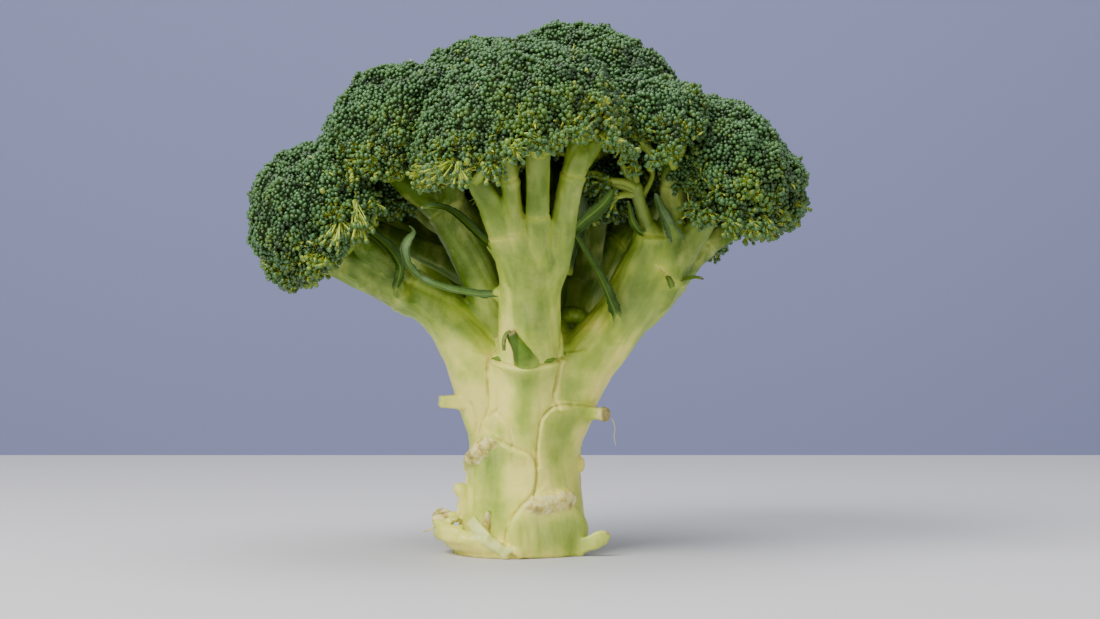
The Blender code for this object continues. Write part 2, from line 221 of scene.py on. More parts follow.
# =====================================================================
# The tables: where things are
# =====================================================================
STALK = [
    (-0.4, 0.0, -4.0, 19.8), (-0.4, 0.0, 0.0, 20.2), (-0.5, 0.0, 6.0, 20.6), (-0.5, 0.0, 14.0, 20.0), (-0.7, 0.0, 23.0, 19.0), (-0.6, 0.0, 33.0, 18.6),
    (0.0, 0.0, 42.0, 19.4), (0.8, 0.5, 50.0, 21.2), (0.8, 1.5, 58.0, 21.2), (0.4, 2.5, 66.0, 18.0), (0.3, 3.0, 74.0, 12.0),
]

# Each branch is a list of runs of (x, y, z, radius): the branch, then its forks.
BRANCHES = {
    "branch_front": [
        [(-0.5, -10.5, 36.0, 8.4), (-0.3, -11.6, 46.0, 10.2), (0.4, -12.8, 56.0, 10.8), (1.2, -15.2, 66.0, 10.3), (1.6, -19.0, 77.0, 9.8),
         (1.6, -24.0, 87.9, 9.8), (1.6, -28.0, 96.4, 10.0), (1.7, -31.0, 102.2, 9.2), (1.9, -33.0, 107.0, 6.4)],
        [(-2.4, -30.0, 94.1, 6.0), (-4.9, -34.0, 102.5, 5.8), (-7.8, -38.0, 109.1, 5.0), (-10.7, -42.0, 115.1, 4.3), (-13.7, -45.0, 120.0, 3.8), (-16.4, -46.0, 124.0, 3.0), (-18.4, -45.6, 126.6, 1.8)],
        [(-1.0, -34.0, 99.2, 4.8), (-2.3, -38.2, 105.6, 4.0), (-3.5, -41.4, 111.9, 3.5), (-4.1, -43.6, 117.9, 3.25), (-4.7, -45.4, 123.2, 3.1), (-5.7, -46.6, 128.3, 3.2), (-6.2, -47.4, 133.0, 3.0)],
        [(4.8, -34.0, 98.6, 5.4), (4.5, -39.0, 105.6, 4.4), (4.2, -42.4, 111.9, 3.9), (4.2, -45.0, 117.9, 3.7), (4.2, -47.0, 123.8, 3.7), (4.2, -48.0, 129.5, 3.9), (4.4, -48.6, 133.5, 4.4)],
        [(4.6, -25.0, 86.0, 5.6), (6.4, -28.4, 92.4, 6.0), (8.6, -31.0, 97.7, 5.6), (10.6, -34.0, 103.7, 5.0), (11.9, -37.0, 110.1, 4.5), (13.1, -39.0, 116.1, 4.2), (14.4, -41.0, 121.8, 4.1), (15.7, -42.4, 126.6, 4.0), (17.3, -43.4, 130.7, 4.2)],
        [(16.4, -43.4, 129.7, 3.2), (16.4, -44.4, 135.1, 2.9), (17.0, -45.4, 140.1, 2.3)],
        [(19.0, -42.4, 130.7, 3.3), (22.0, -43.4, 134.2, 2.8), (25.2, -43.4, 138.0, 2.3)],
    ],
    "branch_right": [
        [(6.0, -4.0, 36.0, 9.6), (10.2, -4.8, 46.0, 11.2), (14.4, -5.6, 56.2, 11.2), (19.8, -6.4, 64.6, 10.4), (25.6, -7.0, 71.2, 9.7), (32.8, -8.0, 81.0, 8.9),
         (41.0, -9.5, 90.9, 8.3), (46.8, -10.5, 98.1, 7.3), (49.6, -11.0, 102.6, 5.4)],
        [(43.1, -8.6, 89.0, 7.8), (48.6, -11.6, 97.0, 6.0), (53.8, -14.0, 103.9, 5.1), (58.3, -15.8, 110.2, 4.4), (62.2, -17.0, 116.1, 3.4), (64.8, -18.0, 120.6, 2.6)],
        [(30.6, -6.8, 73.6, 4.8), (36.6, -6.0, 79.8, 6.2), (43.6, -5.0, 86.6, 6.5), (52.6, -7.0, 96.2, 5.0), (59.6, -8.0, 103.0, 4.1), (66.6, -9.0, 107.8, 3.5), (73.6, -10.0, 111.4, 3.0), (80.0, -11.0, 114.0, 2.3)],
        [(46.1, -7.0, 95.0, 6.4), (53.2, -1.0, 103.2, 5.2), (60.3, 5.0, 110.1, 4.2), (66.8, 10.0, 116.4, 3.2), (71.8, 13.0, 122.0, 2.4)],
    ],
    "branch_inner_right": [
        [(33.3, -10.0, 86.3, 7.0), (37.6, -13.0, 95.0, 7.0), (40.1, -15.0, 100.9, 6.4), (41.1, -16.5, 104.8, 5.6), (41.2, -17.5, 107.6, 4.0)],
        [(41.7, -17.4, 104.8, 3.8), (40.7, -18.6, 108.4, 2.7), (38.6, -20.0, 114.0, 2.35), (37.1, -20.8, 118.5, 2.2), (36.4, -21.2, 121.8, 2.3)],
        [(45.1, -14.5, 100.2, 6.2), (46.7, -15.5, 105.5, 5.0), (48.3, -17.0, 112.1, 3.9), (48.6, -18.0, 119.0, 3.8), (48.9, -19.0, 125.9, 3.9), (49.1, -20.0, 131.7, 3.4)],
    ],
    "branch_far_left": [
        [(-5.5, -4.0, 36.0, 9.6), (-9.3, -4.8, 46.0, 11.3), (-13.4, -5.6, 57.2, 11.2), (-19.4, -7.0, 69.6, 9.6), (-26.8, -8.5, 79.8, 8.0), (-34.6, -9.4, 86.0, 7.4),
         (-42.0, -10.2, 90.4, 7.4), (-50.9, -11.0, 94.9, 7.0), (-58.5, -12.0, 98.6, 5.5), (-65.7, -13.0, 100.3, 4.6), (-72.9, -14.0, 101.6, 3.8), (-80.1, -15.0, 104.2, 2.8)],
        [(-38.6, -8.6, 84.6, 5.2), (-48.0, -10.0, 89.8, 4.3), (-56.6, -11.0, 93.0, 3.9), (-64.5, -12.0, 96.3, 3.4), (-71.7, -13.0, 97.6, 3.0), (-77.6, -14.0, 99.6, 2.4)],
        [(-44.5, -13.0, 95.0, 5.6), (-50.8, -17.0, 101.5, 4.6), (-55.8, -21.0, 106.0, 3.8), (-59.4, -24.0, 110.5, 3.0)],
        [(-46.8, -8.0, 97.0, 5.6), (-53.9, -3.0, 105.2, 4.6), (-59.6, 1.0, 113.4, 3.6), (-63.2, 3.0, 120.2, 2.6)],
    ],
    "branch_left": [
        [(-4.0, -1.0, 54.0, 9.4), (-6.8, -2.6, 68.8, 8.6), (-9.4, -5.0, 77.6, 7.6), (-12.1, -8.0, 84.3, 6.8), (-14.2, -9.5, 89.7, 6.5), (-16.2, -10.5, 95.7, 6.8),
         (-18.6, -11.5, 102.3, 7.3), (-21.9, -12.5, 108.9, 7.5), (-25.8, -13.5, 114.9, 6.8), (-29.5, -14.5, 119.8, 5.6), (-32.1, -15.0, 124.7, 4.2)],
        [(-25.2, -14.0, 113.5, 5.2), (-24.3, -18.0, 119.0, 4.4), (-24.5, -22.0, 124.1, 3.6), (-25.4, -25.0, 128.8, 2.6)],
        [(-28.1, -14.0, 115.8, 5.4), (-33.3, -17.0, 119.4, 4.6), (-38.4, -20.0, 122.5, 3.8), (-42.9, -22.0, 125.7, 2.8)],
        [(-26.7, -9.0, 113.4, 5.2), (-32.4, -2.0, 118.7, 4.2), (-37.5, 5.0, 124.4, 3.0)],
    ],
    "branch_top": [
        [(1.0, 4.0, 56.0, 11.0), (2.0, 7.0, 78.0, 10.2), (4.0, 10.0, 98.0, 10.0), (5.0, 12.5, 112.0, 9.6), (5.0, 14.0, 124.0, 7.5), (5.0, 15.0, 134.0, 5.0)],
        [(6.0, 11.5, 106.0, 7.6), (12.0, 12.5, 118.0, 6.4), (18.0, 13.5, 131.0, 5.0), (22.0, 14.0, 143.0, 3.6)],
        [(2.0, 12.5, 106.0, 7.4), (-4.0, 16.0, 118.0, 6.2), (-9.0, 19.0, 130.0, 4.8), (-12.0, 21.0, 141.0, 3.4)],
        [(7.0, 8.0, 104.0, 5.4), (14.0, 2.0, 115.0, 4.4), (20.0, -3.0, 125.0, 3.4), (24.0, -6.0, 134.0, 2.6)],
        [(1.0, 8.0, 104.0, 5.4), (-6.0, 3.0, 117.0, 4.4), (-12.0, 0.0, 129.0, 3.4), (-15.0, -2.0, 138.0, 2.6)],
        [(-1.0, 6.0, 84.0, 6.4), (-11.0, 2.0, 97.0, 5.4), (-22.0, 1.0, 107.0, 4.6), (-33.0, 2.0, 114.0, 3.8), (-41.0, 3.0, 121.0, 3.0)],
        [(-2.0, 8.0, 78.0, 6.4), (-14.0, 8.0, 90.0, 5.2), (-28.0, 9.0, 99.0, 4.4), (-42.0, 10.0, 105.0, 3.6), (-54.0, 10.0, 111.0, 2.8)],
    ],
    "branch_back_right": [
        [(5.0, 4.0, 46.0, 11.0), (9.0, 7.0, 60.0, 10.0), (13.5, 11.0, 72.0, 8.8), (18.5, 15.5, 85.0, 7.6), (25.5, 21.0, 98.5, 8.2), (33.0, 28.0, 108.0, 8.0), (39.5, 34.0, 116.0, 6.6), (44.0, 38.0, 122.0, 5.0)],
        [(30.0, 24.0, 102.0, 5.8), (38.0, 24.0, 109.0, 4.8), (45.0, 24.0, 117.0, 3.6), (51.0, 24.5, 126.0, 2.8)],
        [(31.0, 28.0, 104.0, 5.8), (33.0, 38.0, 109.0, 4.8), (36.0, 47.0, 115.0, 3.6), (38.0, 52.0, 123.0, 2.8)],
        [(37.0, 32.0, 111.0, 5.0), (47.0, 38.0, 113.0, 4.2), (56.0, 42.0, 115.0, 3.2), (62.0, 44.0, 120.0, 2.4)],
        [(20.0, 16.5, 88.0, 5.4), (21.0, 12.0, 99.0, 4.6), (23.0, 7.0, 109.0, 3.8), (25.0, 3.0, 117.0, 2.8)],
    ],
    "branch_back_left": [
        [(-5.0, 5.0, 44.0, 11.0), (-10.0, 10.0, 58.0, 10.8), (-18.0, 18.0, 74.0, 9.4), (-28.0, 26.5, 90.0, 8.4), (-37.0, 32.0, 104.0, 7.8), (-44.0, 35.5, 116.0, 5.4), (-47.0, 37.0, 124.0, 4.0)],
        [(-32.0, 30.5, 96.0, 5.6), (-35.0, 40.0, 105.0, 4.6), (-39.0, 48.0, 114.0, 3.6), (-42.0, 53.0, 121.0, 2.8)],
        [(-34.0, 28.0, 98.0, 5.4), (-43.0, 25.0, 107.0, 4.4), (-52.0, 23.5, 115.0, 3.4), (-59.0, 23.0, 121.0, 2.6)],
        [(-40.0, 34.0, 108.0, 5.0), (-49.0, 38.5, 111.0, 4.2), (-58.0, 42.5, 115.0, 3.2), (-64.0, 45.0, 119.0, 2.4)],
    ],
    "branch_back": [
        [(0.0, 6.0, 42.0, 11.5), (0.0, 11.0, 55.0, 12.0), (0.8, 23.0, 72.0, 10.2), (1.6, 35.0, 88.0, 8.8), (2.0, 44.5, 103.0, 8.2), (2.0, 50.0, 115.0, 6.0), (2.0, 52.0, 125.0, 4.0)],
        [(2.0, 41.0, 97.0, 5.6), (10.0, 49.0, 106.0, 4.6), (16.0, 55.0, 115.0, 3.6), (20.0, 59.0, 122.0, 2.8)],
        [(1.0, 41.0, 97.0, 5.6), (-7.0, 49.0, 106.0, 4.6), (-13.0, 55.0, 115.0, 3.6), (-17.0, 59.0, 122.0, 2.8)],
        [(2.0, 46.0, 105.0, 5.4), (2.5, 56.0, 111.0, 4.4), (3.0, 64.0, 117.0, 3.4), (3.0, 69.0, 123.0, 2.6)],
    ],
}

# Where a fork begins, the skin has a ring: centre, direction, radius it reaches.
RINGS = [
    ((-5.2, -38.0, 107.2), (-0.35, -0.45, 1.0), 6.5), ((4.2, -44.0, 111.8), (0.0, -0.4, 1.0), 5.0), ((-4.8, -47.0, 123.1), (-0.1, -0.3, 1.0), 4.2),
    ((14.8, -43.0, 125.6), (0.25, -0.3, 1.0), 5.4), ((41.0, -18.5, 107.0), (0.1, -0.2, 1.0), 5.4), ((-41.5, -12.0, 87.0), (-0.8, -0.1, 0.55), 11.0),
    ((47.0, -11.0, 94.0), (0.6, -0.1, 0.75), 9.0), ((-27.0, -16.0, 115.0), (-0.5, -0.1, 0.8), 8.0), ((49.0, -20.0, 123.0), (0.0, -0.1, 1.0), 5.0),
    ((6.0, 12.0, 108.0), (0.1, 0.1, 1.0), 12.0), ((29.0, 25.0, 102.0), (0.6, 0.5, 0.7), 10.0), ((-34.0, 30.0, 99.0), (-0.5, 0.35, 0.8), 10.0), ((2.0, 42.0, 98.0), (0.0, 0.6, 0.8), 10.0),
    ((-61.0, -12.5, 99.5), (-1.0, -0.1, 0.2), 6.5), ((62.0, -8.5, 103.0), (0.8, -0.1, 0.5), 6.0),
]

# Bud heads: centre, half width, half height, underside below the centre,
# facing, and flats that cut into the dome as (direction, distance).
LOBES = {
    "floret_front": [((0.0, -32.0, 132.0), 40.0, 36.5, 1.0, (-0.30, 0.02, 1.0), [])],
    "floret_left_center": [((-37.0, -12.0, 134.0), 31.5, 31.0, 3.5, (-0.24, -0.10, 1.0), []), ((-43.0, -5.0, 123.5), 16.5, 12.5, 3.0, (-0.2, -0.5, 1.0), [])],
    "floret_left": [((-64.6, -14.0, 112.0), 28.5, 27.2, 6.5, (-1.0, -0.22, 0.75), [((0.41, 0.0, -0.91), 15.6)]), ((-66.0, -9.0, 124.0), 17.5, 15.5, 3.0, (-0.40, -0.10, 1.0), [])],
    "floret_right": [((62.0, -10.0, 121.0), 33.5, 33.5, 5.5, (0.22, -0.10, 1.0), [((-0.93, -0.10, -0.35), 13.5), ((0.79, 0.0, 0.61), 27.6), ((0.45, 0.0, 0.89), 31.6), ((0.80, 0.0, -0.60), 28.6), ((-0.80, -0.60, 0.0), 17.5)])],
    "floret_inner_right": [((42.0, -22.0, 138.6), 25.0, 19.8, 1.0, (0.10, -0.02, 1.0), []), ((26.5, -1.0, 121.0), 14.0, 12.0, 4.0, (-0.1, -0.6, 1.0), [])],
    "floret_top_right": [((19.6, 14.0, 147.0), 38.0, 33.8, 8.0, (0.15, 0.0, 1.0), [((0.50, 0.0, 0.87), 32.0)])],
    "floret_top_left": [((-13.0, 21.0, 145.5), 31.0, 31.5, 9.0, (-0.10, 0.15, 1.0), [])],
    "floret_back_left": [((-45.5, 35.0, 125.0), 33.0, 32.5, 8.0, (-0.60, 0.45, 1.0), [])],
    "floret_back": [((2.0, 52.0, 128.0), 33.5, 33.0, 8.0, (0.0, 0.60, 1.0), [])],
    "floret_back_right": [((46.0, 37.0, 125.0), 34.0, 33.5, 8.0, (0.60, 0.50, 1.0), [((0.50, -0.40, -0.77), 29.0)])],
}

# Loose sprays of buds that hang out of the heads: where their stalks meet, a
# point on the way they face, how many buds, length, how wide they spread, and
# where their own stalk comes from.
SPRAYS = {
    "floret_left": [
        ((-59.6, -27.5, 114.7), (-62.4, -32.0, 100.0), 18, 13.5, 0.30, (-57.0, -22.0, 108.0)),
        ((-55.6, -26.5, 117.0), (-53.2, -31.0, 102.0), 16, 13.0, 0.28, (-55.0, -20.0, 106.0)),
        ((-50.5, -23.0, 119.0), (-47.0, -29.0, 110.0), 12, 8.0, 0.45, (-50.0, -16.0, 110.0)),
    ],
    "floret_front": [
        ((-22.5, -50.5, 128.9), (-33.0, -57.0, 122.0), 13, 10.5, 0.36, (-19.0, -46.0, 126.0)),
        ((-21.0, -51.0, 128.0), (-20.0, -57.0, 118.0), 11, 8.0, 0.30, (-18.0, -46.5, 126.0)),
        ((-10.5, -52.5, 129.5), (-9.4, -58.0, 121.5), 16, 7.5, 0.50, (-8.0, -46.0, 128.0)),
        ((-3.0, -52.0, 134.0), (-3.0, -59.0, 129.5), 14, 6.5, 0.55, (-5.0, -47.0, 133.0)),
        ((4.4, -51.5, 136.0), (3.0, -60.0, 132.5), 14, 6.0, 0.60, (4.4, -48.0, 133.0)),
        ((9.5, -51.0, 136.5), (11.0, -60.0, 131.5), 14, 6.5, 0.55, (6.0, -48.0, 133.0)),
        ((17.5, -47.5, 139.0), (19.5, -58.0, 136.0), 13, 6.5, 0.55, (17.0, -45.0, 138.0)),
        ((26.0, -45.0, 138.0), (31.0, -53.0, 132.0), 14, 7.0, 0.50, (24.0, -43.0, 137.0)),
        ((31.0, -39.0, 136.0), (36.0, -44.0, 128.0), 13, 7.0, 0.50, (26.0, -41.0, 137.0)),
    ],
    "floret_inner_right": [
        ((30.5, -25.5, 119.0), (21.0, -31.0, 115.5), 13, 8.0, 0.50, (36.4, -21.2, 119.5)),
        ((27.5, -28.0, 124.0), (20.0, -36.0, 120.0), 14, 7.5, 0.55, (35.8, -22.0, 122.0)),
        ((35.6, -24.5, 130.5), (32.0, -34.0, 128.0), 14, 6.5, 0.60, (35.4, -22.2, 128.0)),
        ((41.5, -25.0, 131.5), (43.5, -35.0, 130.0), 13, 6.0, 0.60, (41.2, -19.2, 128.5)),
        ((47.5, -26.0, 134.0), (48.5, -36.0, 132.0), 12, 6.0, 0.55, (48.9, -19.5, 129.0)),
        ((21.5, -30.0, 126.0), (14.0, -36.0, 122.5), 13, 6.5, 0.55, (25.7, -25.0, 124.9)),
    ],
    "floret_right": [
        ((57.0, -26.0, 116.5), (50.5, -34.0, 111.5), 15, 8.0, 0.50, (56.0, -16.0, 110.0)),
        ((59.5, -26.5, 114.5), (58.0, -35.0, 107.5), 15, 8.0, 0.50, (58.0, -17.0, 111.0)),
        ((66.5, -26.0, 112.0), (69.0, -33.0, 105.0), 13, 7.0, 0.50, (62.0, -17.0, 114.0)),
        ((79.5, -12.0, 112.5), (81.0, -16.0, 104.5), 15, 6.5, 0.50, (75.0, -11.0, 112.0)),
        ((74.0, -18.0, 112.0), (76.0, -24.0, 104.5), 13, 6.5, 0.50, (70.0, -11.0, 110.0)),
    ],
}


# =====================================================================
# Materials
# =====================================================================
class Nodes:
    """A short way to write a node tree."""

    def __init__(self, name):
        self.mat = bpy.data.materials.new(name)
        self.mat.use_nodes = True
        self.tree = self.mat.node_tree
        self.bsdf = self.tree.nodes["Principled BSDF"]

    def new(self, kind, **settings):
        node = self.tree.nodes.new(kind)
        for key, value in settings.items():
            setattr(node, key, value)
        return node

    def link(self, a, b):
        self.tree.links.new(a, b)

    def attribute(self, name):
        return self.new("ShaderNodeAttribute", attribute_name=name).outputs["Fac"]

    def coords(self):
        return self.new("ShaderNodeTexCoord").outputs["Object"]

    def noise(self, scale, detail=3.0, roughness=0.55, stretch=(1, 1, 1)):
        mapping = self.new("ShaderNodeMapping")
        mapping.inputs["Scale"].default_value = stretch
        self.link(self.coords(), mapping.inputs["Vector"])
        node = self.new("ShaderNodeTexNoise")
        node.inputs["Scale"].default_value = scale
        node.inputs["Detail"].default_value = detail
        node.inputs["Roughness"].default_value = roughness
        self.link(mapping.outputs[0], node.inputs["Vector"])
        return node.outputs["Fac"]

    def voronoi(self, scale, feature="F1"):
        node = self.new("ShaderNodeTexVoronoi", feature=feature)
        node.inputs["Scale"].default_value = scale
        self.link(self.coords(), node.inputs["Vector"])
        return node.outputs["Distance"]

    def ramp(self, fac, stops):
        node = self.new("ShaderNodeValToRGB")
        while len(node.color_ramp.elements) < len(stops):
            node.color_ramp.elements.new(0.5)
        for element, (at, colour) in zip(node.color_ramp.elements, stops):
            element.position = at
            element.color = (*colour, 1.0)
        self.link(fac, node.inputs["Fac"])
        return node.outputs["Color"]

    def level(self, fac, low, high, out_low=0.0, out_high=1.0):
        node = self.new("ShaderNodeMapRange", clamp=True)
        self.link(fac, node.inputs["Value"])
        for key, value in zip(("From Min", "From Max", "To Min", "To Max"), (low, high, out_low, out_high)):
            node.inputs[key].default_value = value
        return node.outputs["Result"]

    def math(self, kind, a, b):
        node = self.new("ShaderNodeMath", operation=kind)
        for socket, value in zip(node.inputs, (a, b)):
            if isinstance(value, (int, float)):
                socket.default_value = value
            else:
                self.link(value, socket)
        return node.outputs[0]

    def mix(self, fac, a, b, blend="MIX"):
        node = self.new("ShaderNodeMix", data_type="RGBA", blend_type=blend)
        for socket, value in ((node.inputs[0], fac), (node.inputs[6], a), (node.inputs[7], b)):
            if isinstance(value, (int, float)):
                socket.default_value = value
            elif isinstance(value, tuple):
                socket.default_value = (*value, 1.0)
            else:
                self.link(value, socket)
        return node.outputs[2]

    def bump(self, height, strength, distance, after=None):
        node = self.new("ShaderNodeBump")
        node.inputs["Strength"].default_value = strength
        node.inputs["Distance"].default_value = distance
        self.link(height, node.inputs["Height"])
        if after is not None:
            self.link(after, node.inputs["Normal"])
        return node.outputs["Normal"]

    def set(self, **values):
        for key, value in values.items():
            socket = self.bsdf.inputs[key.replace("_", " ")]
            if isinstance(value, bpy.types.NodeSocket):
                self.link(value, socket)
            else:
                socket.default_value = value
        return self.mat


def stem_material():
    n = Nodes("stem_skin")
    # the green attribute also carries painted shade and a painted highlight, which this ramp turns to darker or paler
    # skin
    green = n.attribute("green")
    crease = n.attribute("crease")
    cut = n.attribute("cut")
    fresh = n.attribute("fresh")
    streak = n.attribute("streak")
    patches = n.noise(95, 4, 0.6)
    amount = n.math("ADD", green, n.level(patches, 0.3, 0.7, -0.15, 0.15))
    amount = n.math("ADD", amount, n.level(streak, -0.6, 0.6, -0.15, 0.15))
    skin = n.ramp(amount, [
        (0.00, (0.860, 0.780, 0.165)),
        (0.16, (0.640, 0.690, 0.100)),
        (0.38, (0.385, 0.492, 0.046)),
        (0.64, (0.205, 0.312, 0.022)),
        (1.00, (0.070, 0.138, 0.007)),
    ])
    bloom = n.level(n.noise(55, 3, 0.55), 0.45, 0.75, 0.0, 0.26)
    skin = n.mix(bloom, skin, (0.480, 0.570, 0.170))
    pale = n.level(n.noise(130, 4, 0.65, (1, 1, 0.5)), 0.50, 0.72, 0.0, 0.38)
    skin = n.mix(pale, skin, (0.640, 0.670, 0.160))
    specks = n.level(n.noise(1100, 2, 0.5), 0.66, 0.80, 0.0, 0.22)
    skin = n.mix(specks, skin, (0.70, 0.70, 0.30))
    line = n.level(n.math("ADD", crease, n.level(n.noise(420, 3, 0.6), 0.3, 0.7, -0.22, 0.22)), 0.25, 0.95, 0.0, 0.72)
    skin = n.mix(line, skin, (0.310, 0.300, 0.036))
    skin = n.mix(n.level(fresh, 0.2, 0.8), skin, n.mix(n.level(n.noise(300, 3, 0.5), 0.35, 0.65), (0.560, 0.630, 0.125), (0.760, 0.790, 0.280)))
    flesh = n.ramp(n.noise(330, 5, 0.66), [
        (0.26, (0.260, 0.160, 0.026)),
        (0.38, (0.560, 0.430, 0.080)),
        (0.50, (0.820, 0.720, 0.220)),
        (0.66, (0.930, 0.880, 0.500)),
    ])
    skin = n.mix(n.level(cut, 0.15, 0.85), skin, flesh)
    cork = n.mix(n.level(n.noise(700, 4, 0.7), 0.35, 0.65), (0.150, 0.110, 0.026), (0.430, 0.370, 0.110))
    skin = n.mix(n.level(n.attribute("cork"), 0.1, 1.0, 0.0, 0.88), skin, cork)
    rough = n.level(n.noise(260, 3, 0.6), 0.3, 0.7, 0.33, 0.50)
    fine = n.bump(n.noise(1500, 3, 0.6), 0.10, 0.0004)
    veins = n.bump(streak, 0.12, 0.0005, fine)
    torn = n.bump(n.math("MULTIPLY", n.noise(900, 4, 0.7), cut), 0.7, 0.0010, veins)
    return n.set(Base_Color=skin, Roughness=rough, Normal=torn, Subsurface_Weight=0.14,
                 Subsurface_Radius=(0.9, 1.0, 0.30), Subsurface_Scale=0.0022, Specular_IOR_Level=n.level(amount, 0.70, 1.10, 0.42, 0.08))


def bud_material():
    n = Nodes("bud_skin")
    high = n.attribute("high")
    tint = n.attribute("tint")
    yellow = n.attribute("yellow")
    # the lighter tips in these ramps are partly waxy bloom and partly a painted highlight; the darker band below the
    # tip is partly painted shade on the buds' sides
    dark = n.ramp(high, [
        (0.00, (0.090, 0.160, 0.006)),
        (0.28, (0.042, 0.112, 0.007)),
        (0.52, (0.019, 0.072, 0.010)),
        (0.80, (0.026, 0.096, 0.019)),
        (1.00, (0.064, 0.170, 0.045)),
    ])
    light = n.ramp(high, [
        (0.00, (0.540, 0.590, 0.070)),
        (0.34, (0.370, 0.460, 0.042)),
        (0.62, (0.120, 0.225, 0.020)),
        (1.00, (0.055, 0.158, 0.032)),
    ])
    bloom_and_highlight = n.mix(n.level(tint, 0.0, 1.0, 0.0, 0.62), dark, n.ramp(high, [(0.2, (0.050, 0.120, 0.014)), (1.0, (0.125, 0.275, 0.100))]))
    colour = n.mix(yellow, bloom_and_highlight, light)
    colour = n.mix(n.level(yellow, 1.0, 1.5, 0.0, 0.85), colour, (0.370, 0.470, 0.060))
    # painted shade: buds sunk low between the bunches are multiplied darker
    dim = n.attribute("dim")
    colour = n.mix(1.0, colour, n.ramp(dim, [(0.0, (1.0, 1.0, 1.0)), (1.0, (0.26, 0.32, 0.18))]), "MULTIPLY")
    mottle = n.level(n.noise(1300, 3, 0.6), 0.3, 0.7, 0.72, 1.25)
    colour = n.mix(1.0, colour, n.ramp(mottle, [(0.0, (0.0, 0.0, 0.0)), (1.0, (1.0, 1.0, 1.0))]), "MULTIPLY")
    ridges = n.bump(n.noise(2000, 2, 0.5), 0.30, 0.0004)
    rough = n.level(n.noise(800, 2, 0.5), 0.3, 0.7, 0.32, 0.52)
    return n.set(Base_Color=colour, Roughness=rough, Normal=ridges, Specular_IOR_Level=0.55,
                 Subsurface_Weight=0.06, Subsurface_Radius=(0.5, 0.9, 0.25), Subsurface_Scale=0.0008)


def twig_material():
    n = Nodes("bud_stalks")
    high = n.attribute("high")
    base = n.ramp(high, [
        (0.00, (0.150, 0.240, 0.022)),
        (0.50, (0.330, 0.420, 0.050)),
        (1.00, (0.520, 0.570, 0.075)),
    ])
    mottled = n.mix(n.level(n.noise(500, 3, 0.6), 0.3, 0.7, 0.0, 0.35), base, (0.24, 0.36, 0.030))
    fine = n.bump(n.noise(1200, 3, 0.6, (1, 1, 0.3)), 0.2, 0.0004)
    return n.set(Base_Color=mottled, Roughness=0.46, Normal=fine, Subsurface_Weight=0.15,
                 Subsurface_Radius=(0.8, 1.0, 0.3), Subsurface_Scale=0.0012, Specular_IOR_Level=0.4)


def shade_sheet_material():
    # painted shade: a near-black sheet that stands for the shade inside a bud head
    n = Nodes("bud_shade")
    colour = n.ramp(n.noise(420, 4, 0.7), [(0.3, (0.012, 0.028, 0.008)), (0.7, (0.050, 0.088, 0.020))])
    lumps = n.bump(n.voronoi(620), 0.8, 0.0012)
    return n.set(Base_Color=colour, Roughness=0.8, Normal=lumps, Specular_IOR_Level=0.2)


def leaf_material(name, deep, mid, bloom, edge):
    n = Nodes(name)
    rim = n.attribute("rim")
    rib = n.attribute("rib")
    old = n.attribute("old")
    root = n.attribute("root")
    body = n.mix(n.level(n.noise(320, 4, 0.6), 0.3, 0.7), deep, mid)
    body = n.mix(n.level(n.noise(140, 3, 0.5), 0.45, 0.75, 0.0, 0.6), body, bloom)
    body = n.mix(n.level(rib, 0.2, 1.0, 0.0, 0.60), body, edge)
    body = n.mix(n.level(rim, 0.55, 0.80, 0.0, 0.80), body, tuple(0.60 * c for c in deep))
    body = n.mix(n.level(rim, 0.93, 1.0, 0.0, 0.35), body, edge)
    body = n.mix(n.level(root, 0.1, 1.0), body, (0.370, 0.480, 0.070))
    dry = n.mix(n.level(n.noise(900, 3, 0.6), 0.35, 0.65), (0.045, 0.040, 0.014), (0.50, 0.40, 0.17))
    body = n.mix(n.level(old, 0.3, 0.9), body, dry)
    wrinkles = n.bump(n.noise(620, 4, 0.65), 0.35, 0.0006)
    rough = n.level(n.noise(300, 2, 0.5), 0.3, 0.7, 0.46, 0.62)
    return n.set(Base_Color=body, Roughness=rough, Normal=wrinkles, Subsurface_Weight=0.10,
                 Subsurface_Radius=(0.5, 0.9, 0.2), Subsurface_Scale=0.001, Specular_IOR_Level=0.25)


def floor_material():
    n = Nodes("floor_plain")
    colour = n.mix(n.noise(3, 2, 0.5), (0.600, 0.595, 0.615), (0.625, 0.620, 0.640))
    # painted shade: the floor colour darkens towards the back
    split = n.new("ShaderNodeSeparateXYZ")
    n.link(n.coords(), split.inputs[0])
    far = n.level(split.outputs["Y"], 0.10, 0.66, 0.0, 1.0)
    colour = n.mix(1.0, colour, n.ramp(far, [(0.0, (1.0, 1.0, 1.0)), (1.0, (0.80, 0.80, 0.83))]), "MULTIPLY")
    return n.set(Base_Color=colour, Roughness=0.55, Specular_IOR_Level=0.3)


def wall_material():
    n = Nodes("wall_plain")
    colour = n.mix(n.noise(1.5, 2, 0.5), (0.275, 0.300, 0.520), (0.295, 0.320, 0.540))
    return n.set(Base_Color=colour, Roughness=0.9, Specular_IOR_Level=0.1)


# =====================================================================
# Stalk and branches: a distance field, then a mesh of its surface
# =====================================================================
def axis_points(low, high, fine_low, fine_high, fine, coarse):
    out = [low]
    while out[-1] < high:
        at = out[-1]
        if fine_low <= at < fine_high:
            step = fine
        else:
            away = fine_low - at if at < fine_low else at - fine_high
            step = min(coarse, fine + 0.02 * away)
        out.append(at + step)
    return np.array(out)


